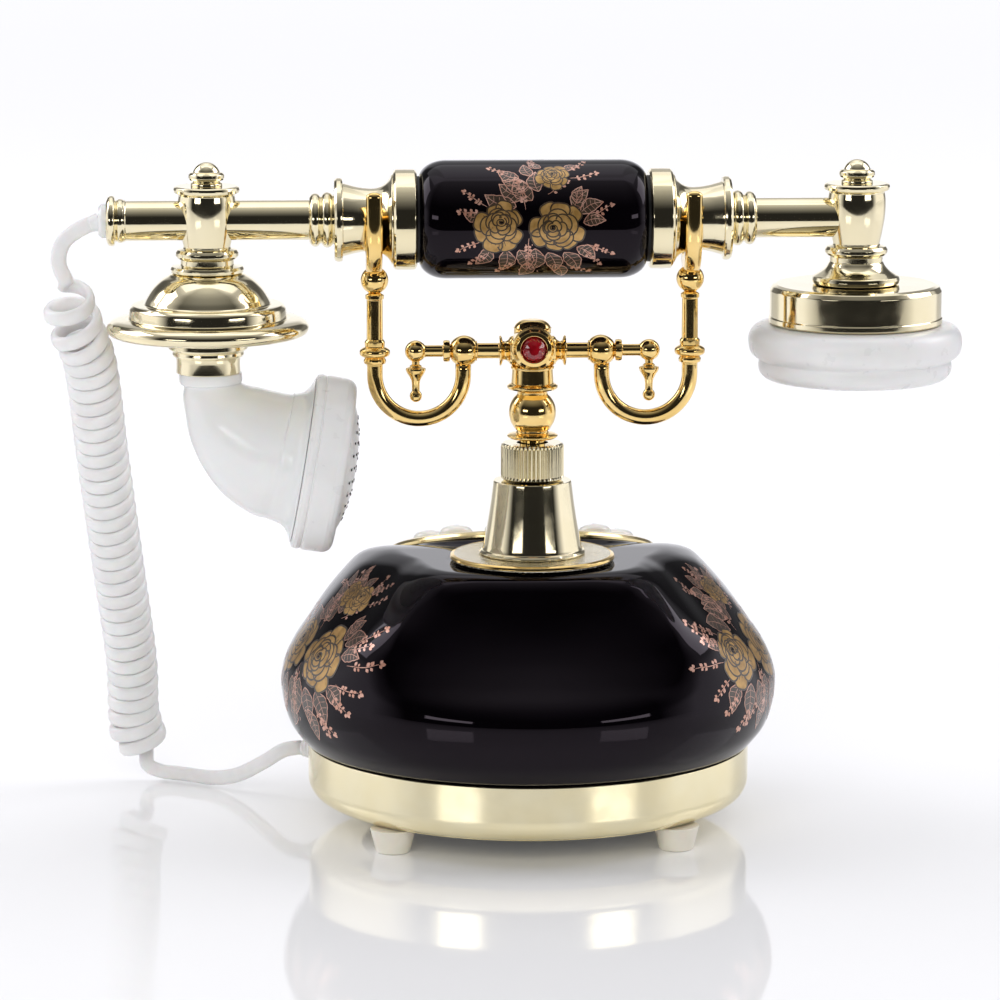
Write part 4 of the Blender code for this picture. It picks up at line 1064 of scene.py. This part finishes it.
def build_horn():
    HORN = [(0.6, 151.2, 9.9, 0.0, -1.0), (0.7, 149.4, 10.0, 0.0, -1.0), (0.8, 148.0, 9.7, 0.02, -1.0), (1.2, 147.5, 8.9, 0.06, -1.0), (2.2, 145.2, 10.4, 0.15, -0.99), (4.6, 142.0, 12.6, 0.31, -0.95), (7.4, 137.7, 15.2, 0.47, -0.88),
            (11.0, 132.9, 17.4, 0.64, -0.77), (15.4, 128.4, 19.2, 0.80, -0.60), (20.0, 125.3, 20.2, 0.93, -0.36), (23.6, 123.9, 20.4, 0.985, -0.17),
            (26.4, 123.4, 21.4, 0.985, -0.167), (28.2, 123.1, 23.4, 0.985, -0.167), (29.5, 122.9, 26.2, 0.985, -0.167)]
    P5 = [np.array(h) for h in HORN]
    P5 = [2 * P5[0] - P5[1]] + P5 + [2 * P5[-1] - P5[-2]]
    fine = []
    for i in range(1, len(P5) - 2):
        n = 7
        for k in range(n):
            t = k / n
            a, b, c, d = P5[i - 1], P5[i], P5[i + 1], P5[i + 2]
            q = 0.5 * ((2 * b) + (c - a) * t + (2 * a - 5 * b + 4 * c - d) * t * t + (3 * b - a - 3 * c + d) * t ** 3)
            # moulding seam near the cup
            fine.append(q)
    fine.append(P5[-2])
    seg = SEG

    def ring(h, dr):
        c = Vector((END_X - h[0], STEM_Y, h[1]))
        d = Vector((-h[3], 0, h[4])).normalized()
        e1 = Vector((0, 1, 0))
        e2 = d.cross(e1)
        return [c + (e1 * math.cos(2 * math.pi * i / seg) + e2 * math.sin(2 * math.pi * i / seg)) * (h[2] + dr) for i in range(seg)]
    rings = []
    seam = 10 * 7 - 3
    for i, h in enumerate(fine):
        dr = -0.28 if i == seam else (-0.14 if abs(i - seam) == 1 else 0.0)
        rings.append(ring(h, dr))
    inner = [ring(h, -2.2) for h in fine[::-1]]
    loft("horn_hq", rings + inner, "white", "handset", ("mouth_horn",), closed=True)


build_horn()
HD = Vector((-0.986, 0, -0.167)).normalized()
HC = Vector((END_X - 29.9, STEM_Y, 122.85))
lathe("mouth_cap_hq", [(21.0, -0.2), (26.6, -0.2, 0.4), (27.6, 0.4, 0.5), (27.9, 1.6, 0.4), (27.75, 2.6, 0.2), (27.3, 3.0, 0.15), (27.75, 3.4, 0.2), (27.9, 4.4), (27.8, 9.8, 0.6)] + curve_pts([(27.5, 10.9), (26.7, 12.1), (25.4, 12.8), (24.0, 12.9), (22.9, 12.4)], 4) + [(22.4, 11.8, 0.3), (22.2, 9.4), (21.0, 9.4)],
      HC, HD, "cap", "handset", ("mouth_cap",), closed=True, seg=144)
GR = [(0, 9.4), (22.3, 9.4), (22.3, 11.2, 0.3)] + curve_pts([(21.8, 11.9), (20.2, 13.1), (17.5, 14.3), (13.5, 15.4), (8.5, 16.2), (4.0, 16.5), (0.0, 16.6)], 5)
lathe("mouth_grille_hq", GR, HC, HD, "cap", "handset", ("mouth_grille",), seg=128)


def perforations():
    u, v, w = axes(HD)
    prof = curve_pts([(0.0, 16.6), (4.0, 16.5), (8.5, 16.2), (13.5, 15.4), (17.5, 14.3), (20.2, 13.1)], 8)
    rs = np.array([p[0] for p in prof])
    hs = np.array([p[1] for p in prof])
    verts, faces = [], []

    def at(x, y, lift):
        r = math.hypot(x, y)
        return HC + u * x + v * y + w * (float(np.interp(r, rs, hs)) + lift)
    for ring_r, cnt in ((0, 1), (4.2, 6), (8.4, 12), (12.6, 18), (16.6, 24)):
        for i in range(cnt):
            a = 2 * math.pi * (i + 0.5 * (ring_r > 5)) / max(cnt, 1)
            cx, cy = ring_r * math.cos(a), ring_r * math.sin(a)
            b = len(verts)
            n = 14
            verts.append(at(cx, cy, -0.25))
            for rr, lift in ((0.34, -0.14), (0.46, 0.0), (0.55, 0.03)):
                for k in range(n):
                    t = 2 * math.pi * k / n
                    verts.append(at(cx + rr * math.cos(t), cy + rr * math.sin(t), lift))
            for k in range(n):
                j = (k + 1) % n
                faces.append((b, b + 1 + k, b + 1 + j))
                faces.append((b + 1 + k, b + 1 + n + k, b + 1 + n + j, b + 1 + j))
                faces.append((b + 1 + n + k, b + 1 + 2 * n + k, b + 1 + 2 * n + j, b + 1 + n + j))
    # only the dark cup parts stand proud enough to show: lift all by a hair
    verts = [p + w * 0.2 for p in verts]
    put("grille_holes", verts, faces, "gap", "handset", smooth=True)


perforations()

# earpiece
lathe("ear_drum_hq", [(12.0, 178.3), (25.0, 178.3, 0.4), (26.4, 177.8, 0.6), (27.2, 176.4, 0.8), (27.2, 168.2, 0.3), (27.5, 167.8, 0.2), (27.5, 166.4, 0.3), (27.0, 165.9, 0.3), (24.5, 165.7), (12.0, 165.7)],
      E, UP, "pale", "handset", ("ear_drum",), closed=True, seg=144)
lathe("ear_cap_hq", [(0, 165.6), (27.0, 165.7, 0.3)] + curve_pts([(28.4, 165.6), (30.8, 165.2), (32.6, 164.0), (33.6, 162.0), (33.8, 159.8), (33.4, 157.4), (32.4, 155.8), (31.2, 155.0)], 5) + [(30.6, 154.8, 0.3), (30.3, 154.3, 0.2)] + curve_pts([(30.5, 153.6), (30.6, 152.0), (30.1, 150.2), (28.6, 148.7), (26.4, 148.0), (23.8, 148.2), (20.8, 149.9), (16.0, 151.6), (9.0, 152.3), (0.0, 152.5)], 5),
      E, UP, "cap", "handset", ("ear_cap",), seg=144)


def ear_holes():
    verts, faces = [], []
    for ring_r, cnt in ((0, 1), (4.5, 6), (9.0, 12)):
        for i in range(cnt):
            a = 2 * math.pi * i / max(cnt, 1)
            cx, cy = ring_r * math.cos(a), ring_r * math.sin(a)
            z = 152.5 - 0.2 * (ring_r / 9.0) ** 2
            b = len(verts)
            n = 14
            verts.append(Vector((-END_X + cx, STEM_Y + cy, z - 0.05)))
            for rr, dz in ((0.9, -0.08), (1.2, -0.1)):
                for k in range(n):
                    t = 2 * math.pi * k / n
                    verts.append(Vector((-END_X + cx + rr * math.cos(t), STEM_Y + cy + rr * math.sin(t), z + dz)))
            for k in range(n):
                j = (k + 1) % n
                faces.append((b, b + 1 + j, b + 1 + k))
                faces.append((b + 1 + k, b + 1 + j, b + 1 + n + j, b + 1 + n + k))
    put("ear_holes", verts, faces, "gap", "handset")


ear_holes()


# =========================================================================
# printed roses
# =========================================================================
class Print:
    """Flat artwork laid on a surface: map(u, v, lift) gives the point."""

    def __init__(self, fn):
        self.fn, self.v, self.f, self.m = fn, [], [], []

    def patch(self, grid, lift, mat):
        """grid[i][j] of (u, v)."""
        b = len(self.v)
        nr, nc = len(grid), len(grid[0])
        for row in grid:
            for (u, v) in row:
                self.v.append((u, v, lift))
        for i in range(nr - 1):
            for j in range(nc - 1):
                self.f.append((b + i * nc + j, b + i * nc + j + 1, b + (i + 1) * nc + j + 1, b + (i + 1) * nc + j))
                self.m.append(mat)

    def stroke(self, pts, width, lift, mat, taper=True):
        P = [Vector(p) for p in pts]
        n = len(P)
        rows = [[], []]
        for i, p in enumerate(P):
            t = (P[min(i + 1, n - 1)] - P[max(i - 1, 0)])
            if t.length < 1e-9:
                t = Vector((1, 0))
            t.normalize()
            nn = Vector((-t.y, t.x))
            k = width / 2
            if taper:
                k *= 0.35 + 0.65 * math.sin(math.pi * (i + 0.5) / n)
            rows[0].append(tuple(p + nn * k))
            rows[1].append(tuple(p - nn * k))
        self.patch(rows, lift, mat)

    def petal(self, c, r0, r1, a0, a1, lift, mat, bulge=0.0, wave=0.0, n=12, m=4, gap=0.0):
        """A petal between two radii about c, its outer edge bulged."""
        rows = []
        for j in range(m + 1):
            row = []
            for i in range(n + 1):
                s = i / n
                a = a0 + (a1 - a0) * s
                shape = math.sin(math.pi * s) ** 0.6 if 0 < s < 1 else 0.0
                out = r0 + (r1 - r0) * (0.35 + 0.65 * shape) + bulge * shape + wave * math.sin(math.pi * s * 3)
                r = r0 + (out - r0) * j / m
                row.append((c[0] + r * math.cos(a), c[1] + r * math.sin(a)))
            rows.append(row)
        self.patch(rows, lift, mat)
        edge = rows[-1]
        return edge

    def rose(self, c, R, rot=0.0, flat=1.0, turn=1.0):
        """A cabbage rose: ragged outer petals, nested crescents and a rolled heart."""
        G, C, D = 0, 1, 2
        lift = 0.02
        n = 8
        for k in (0, 4, 2, 6, 1, 5, 3, 7):
            a = rot + 2 * math.pi * k / n + random.uniform(-0.15, 0.15)
            w = 2 * math.pi / n * random.uniform(1.1, 1.5)
            r1 = R * random.uniform(0.84, 1.08)
            e = self.petal(c, R * 0.38, r1, a - w / 2, a + w / 2, lift, G, bulge=R * 0.04, wave=R * 0.035, n=18, m=5)
            self.stroke(e, R * 0.06, lift + 0.012, D, False)
            for q in (-0.25, -0.08, 0.1, 0.26):
                aa = a + q * w
                self.stroke([(c[0] + r * math.cos(aa + 0.25 * q * (r / R)), c[1] + r * math.sin(aa + 0.25 * q * (r / R))) for r in np.linspace(R * 0.42, r1 * random.uniform(0.6, 0.8), 5)], R * 0.032, lift + 0.012, D)
            lift += 0.005
        tilt = rot + 0.9
        for ring, (rr, n, w) in enumerate(((0.70, 5, 1.75), (0.56, 4, 2.0), (0.43, 4, 2.0), (0.31, 3, 2.4))):
            off = R * 0.05 * (ring + 1)
            cc = (c[0] + off * math.cos(tilt), c[1] + off * math.sin(tilt))
            for k in range(n):
                a = rot * 1.3 + turn * ring * 0.75 + 2 * math.pi * k / n + random.uniform(-0.15, 0.15)
                r1 = rr * R * random.uniform(0.92, 1.06)
                e = self.petal(cc, R * rr * 0.3, r1, a - w / 2, a + w / 2, lift, G, bulge=R * 0.03, wave=R * 0.01, n=14, m=4)
                self.stroke(e, R * 0.055, lift + 0.012, D, False)
                lift += 0.004
        cc = (c[0] + R * 0.2 * math.cos(tilt), c[1] + R * 0.2 * math.sin(tilt))
        sp = []
        for i in range(34):
            t = i / 33
            a = rot + turn * t * 2 * math.pi * 2.1
            r = R * (0.02 + 0.2 * t)
            sp.append((cc[0] + r * math.cos(a), cc[1] + r * math.sin(a) * 0.85))
        self.stroke(sp, R * 0.05, lift + 0.02, D, False)

    def leaf(self, base, ang, length, width, fill=2):
        G, C, D = 0, 1, 2
        ca, sa = math.cos(ang), math.sin(ang)

        def P(x, y):
            return (base[0] + x * ca - y * sa, base[1] + x * sa + y * ca)
        n = 12
        up, lo, mid = [], [], []
        for i in range(n + 1):
            t = i / n
            w = width / 2 * math.sin(math.pi * t ** 0.8) * (1 + 0.06 * math.sin(t * 26))
            bend = 0.12 * length * math.sin(math.pi * t)
            up.append(P(t * length, bend + w))
            lo.append(P(t * length, bend - w))
            mid.append(P(t * length, bend))
        rows = [[tuple((Vector(a) * (1 - q) + Vector(b) * q)) for a, b in zip(up, lo)] for q in (0, 0.33, 0.66, 1)]
        self.patch(rows, 0.012, fill)
        self.stroke(up, 0.26, 0.022, C, False)
        self.stroke(lo, 0.26, 0.022, C, False)
        self.stroke(mid, 0.2, 0.022, C)
        for i in range(2, n - 1, 2):
            a, b, c_ = Vector(mid[i]), Vector(up[min(i + 1, n)]), Vector(lo[min(i + 1, n)])
            self.stroke([tuple(a), tuple(a.lerp(b, 0.45)), tuple(a.lerp(b, 0.85))], 0.13, 0.022, C)
            self.stroke([tuple(a), tuple(a.lerp(c_, 0.45)), tuple(a.lerp(c_, 0.85))], 0.13, 0.022, C)

    def sprig(self, base, ang, length, n=5, size=1.1):
        C = 1
        pts = []
        p = Vector(base)
        a = ang
        for i in range(9):
            pts.append(tuple(p))
            p = p + Vector((math.cos(a), math.sin(a))) * length / 8
            a += random.uniform(-0.12, 0.16)
        self.stroke(pts, 0.26, 0.018, C)
        for i in range(n):
            t = 1 + int((i + 1) * 7 / n)
            q = Vector(pts[min(t, 8)])
            for sd in (-1, 1):
                b = ang + sd * random.uniform(0.6, 1.0)
                l = size * random.uniform(0.8, 1.25)
                self.bud(q, b, l)
        self.bud(Vector(pts[-1]), ang, size * 1.3)

    def bud(self, q, b, l):
        d = Vector((math.cos(b), math.sin(b)))
        nn = Vector((-d.y, d.x))
        up, lo = [], []
        for i in range(6):
            t = i / 5
            w = 0.36 * l * math.sin(math.pi * min(0.999, max(0.001, t)))
            c = q + d * (0.25 * l + t * l)
            up.append(tuple(c + nn * w))
            lo.append(tuple(c - nn * w))
        self.patch([up, lo], 0.02, 1)

    def make(self, name, body):
        pts = self.fn(np.array(self.v))
        faces = []
        put(name, [Vector(p) for p in pts], self.f, None, body, mats=("p_gold", "p_copper", "p_dark", "p_leaf"), mat_index=self.m, smooth=True)


def bouquet(pr, k=1.0, o=(0.0, 0.0), mirror=1, rich=True):
    """Two large roses, one small one, drawn leaves and sprigs."""
    def q(x, y):
        return (o[0] + mirror * x * k, o[1] + y * k)

    def an(a):
        a = math.radians(a)
        return a if mirror > 0 else math.pi - a
    for (x, y, a, l, w) in ((-6, 6, 158, 10.5, 6.0), (-3, 9, 150, 9.5, 5.6), (-1, 8, 120, 10.0, 5.6), (-2, 13, 165, 8.5, 5.0), (1, 11, 95, 8.0, 4.6), (-5, 16, 150, 7.5, 4.4), (-1, 17, 110, 6.5, 3.8),
                            (12, 5, 55, 8.0, 4.8), (14, 4, 25, 8.0, 4.4), (15, 1, 5, 7.0, 4.0), (13, 7, 75, 6.0, 3.4),
                            (-14, -7, 235, 8.0, 4.6), (-9, -8, 260, 9.0, 5.2), (-5, -8, 285, 9.0, 5.0), (0, -7.5, 262, 9.5, 5.4), (4, -9, 285, 9.0, 5.2), (9, -9, 300, 9.0, 5.0), (13, -7, 320, 7.5, 4.2), (-2, -13, 250, 8.0, 4.6), (6, -14, 290, 8.0, 4.4),
                            (9, 20, 20, 5.5, 3.0), (2, 21, 130, 5.5, 3.0), (-17, 3, 170, 5.5, 3.2)):
        pr.leaf(q(x, y), an(a), l * k, w * k)
    for (x, y, a, l, n) in ((-15, 6, 150, 8, 5), (-16, 4, 175, 7, 4), (-17, -5, 205, 7, 4), (-15, -9, 225, 6, 4), (16, -6, -20, 8, 5), (15, -8, -45, 7, 4), (17, 3, 15, 7, 4), (10, 19, 30, 8, 4), (11, 16, 5, 8, 4),
                            (-2, -4, 262, 9, 5), (-3, 5, 100, 9, 5), (0, 21, 110, 6, 4), (-8, 18, 160, 6, 4), (4, 10, 30, 7, 4), (-6, -12, 230, 7, 4), (10, -14, 320, 7, 4)):
        pr.sprig(q(x, y), an(a), l * k, n, 1.1 * k)
    for (a0, b0, c0) in (((-3, -6), (-2, -11), (-5, -17)), ((-1, -6), (0, -12), (1, -18)), ((1, -6), (3, -12), (7, -17))):
        pr.stroke([q(*a0), q(*[(2 * b_ + a_) / 3 for a_, b_ in zip(a0, b0)]), q(*b0), q(*[(b_ + c_) / 2 for b_, c_ in zip(b0, c0)]), q(*c0)], 0.5 * k, 0.02, 1)
    pr.rose(q(-11.2, -0.4), 8.3 * k, rot=0.4, turn=mirror)
    pr.rose(q(7.2, -0.8), 8.7 * k, rot=2.2, turn=-mirror)
    pr.rose(q(5.8, 16.8), 5.4 * k, rot=1.1, turn=mirror)


def grip_map(centre):
    def fn(a):
        # u along +/-X, v up round the barrel; centre is the angle of v = 0
        R = 18.62 + a[:, 2]
        th = np.radians(centre) + a[:, 1] / 18.6
        return np.stack([-a[:, 0], STEM_Y + R * np.cos(th), AXIS_Z + R * np.sin(th)], -1)
    return fn


def grip_map_front(centre):
    def fn(a):
        R = 18.62 + a[:, 2]
        th = np.radians(centre) + a[:, 1] / 18.6
        return np.stack([a[:, 0], STEM_Y - R * np.cos(th), AXIS_Z + R * np.sin(th)], -1)
    return fn


pr = Print(grip_map(0))
bouquet(pr, 1.0)
pr.make("grip_roses_back", "handset")
pr = Print(grip_map_front(0))
bouquet(pr, 1.0)
pr.make("grip_roses_front", "handset")


def lobe_map(side, az0=0.0, z0=62.0):
    """u runs round the body, v up the side; side is +1 or -1 (X)."""
    def fn(a):
        az = np.radians(az0) + a[:, 0] / 66.0
        # v measured along a tilted ray fan from the inner point
        pol = math.atan2(70.0, z0 - BC[2]) - a[:, 1] / 74.0
        d = np.stack([side * np.cos(az) * np.sin(pol), np.sin(az) * np.sin(pol), np.cos(pol)], -1)
        p = body_hit(d)
        return p + d * (a[:, 2:3] + 0.03)
    return fn


for side in (1, -1):
    pr = Print(lobe_map(side, 20.0, 60.0))
    bouquet(pr, 1.2, o=(0, 1.0), mirror=side)
    for (x, y, a, l, n) in ((22, 6, 40, 12, 5), (22, 0, 5, 12, 5), (-20, 4, 150, 12, 5), (-22, -4, 190, 12, 5), (10, 20, 60, 12, 5), (-4, 18, 100, 12, 5), (12, -14, -60, 8, 4), (-10, -13, 235, 8, 4)):
        pr.sprig((x, y), math.radians(a), l, n, 1.4)
    pr.rose((-2, 22), 5.4, rot=0.9, turn=1)
    for (x, y, a, l, w) in ((4, 24, 60, 8, 4.4), (-7, 24, 130, 8, 4.4), (-2, 27, 95, 8, 4.2)):
        pr.leaf((x, y), math.radians(a), l, w)
    pr.make("body_roses_" + ("right" if side > 0 else "left"), "base")


def medal_map(a):
    r = np.hypot(a[:, 0], a[:, 1])
    h = np.interp(r, [0, 5, 9, 12.2], [6.0, 5.85, 5.4, 4.5]) + 0.03 + a[:, 2]
    return np.array([tuple(dial(u, v, hh)) for u, v, hh in zip(a[:, 0], a[:, 1], h)])


pr = Print(medal_map)
bouquet(pr, 0.42, o=(-0.3, -0.6))
pr.make("medallion_rose", "base")
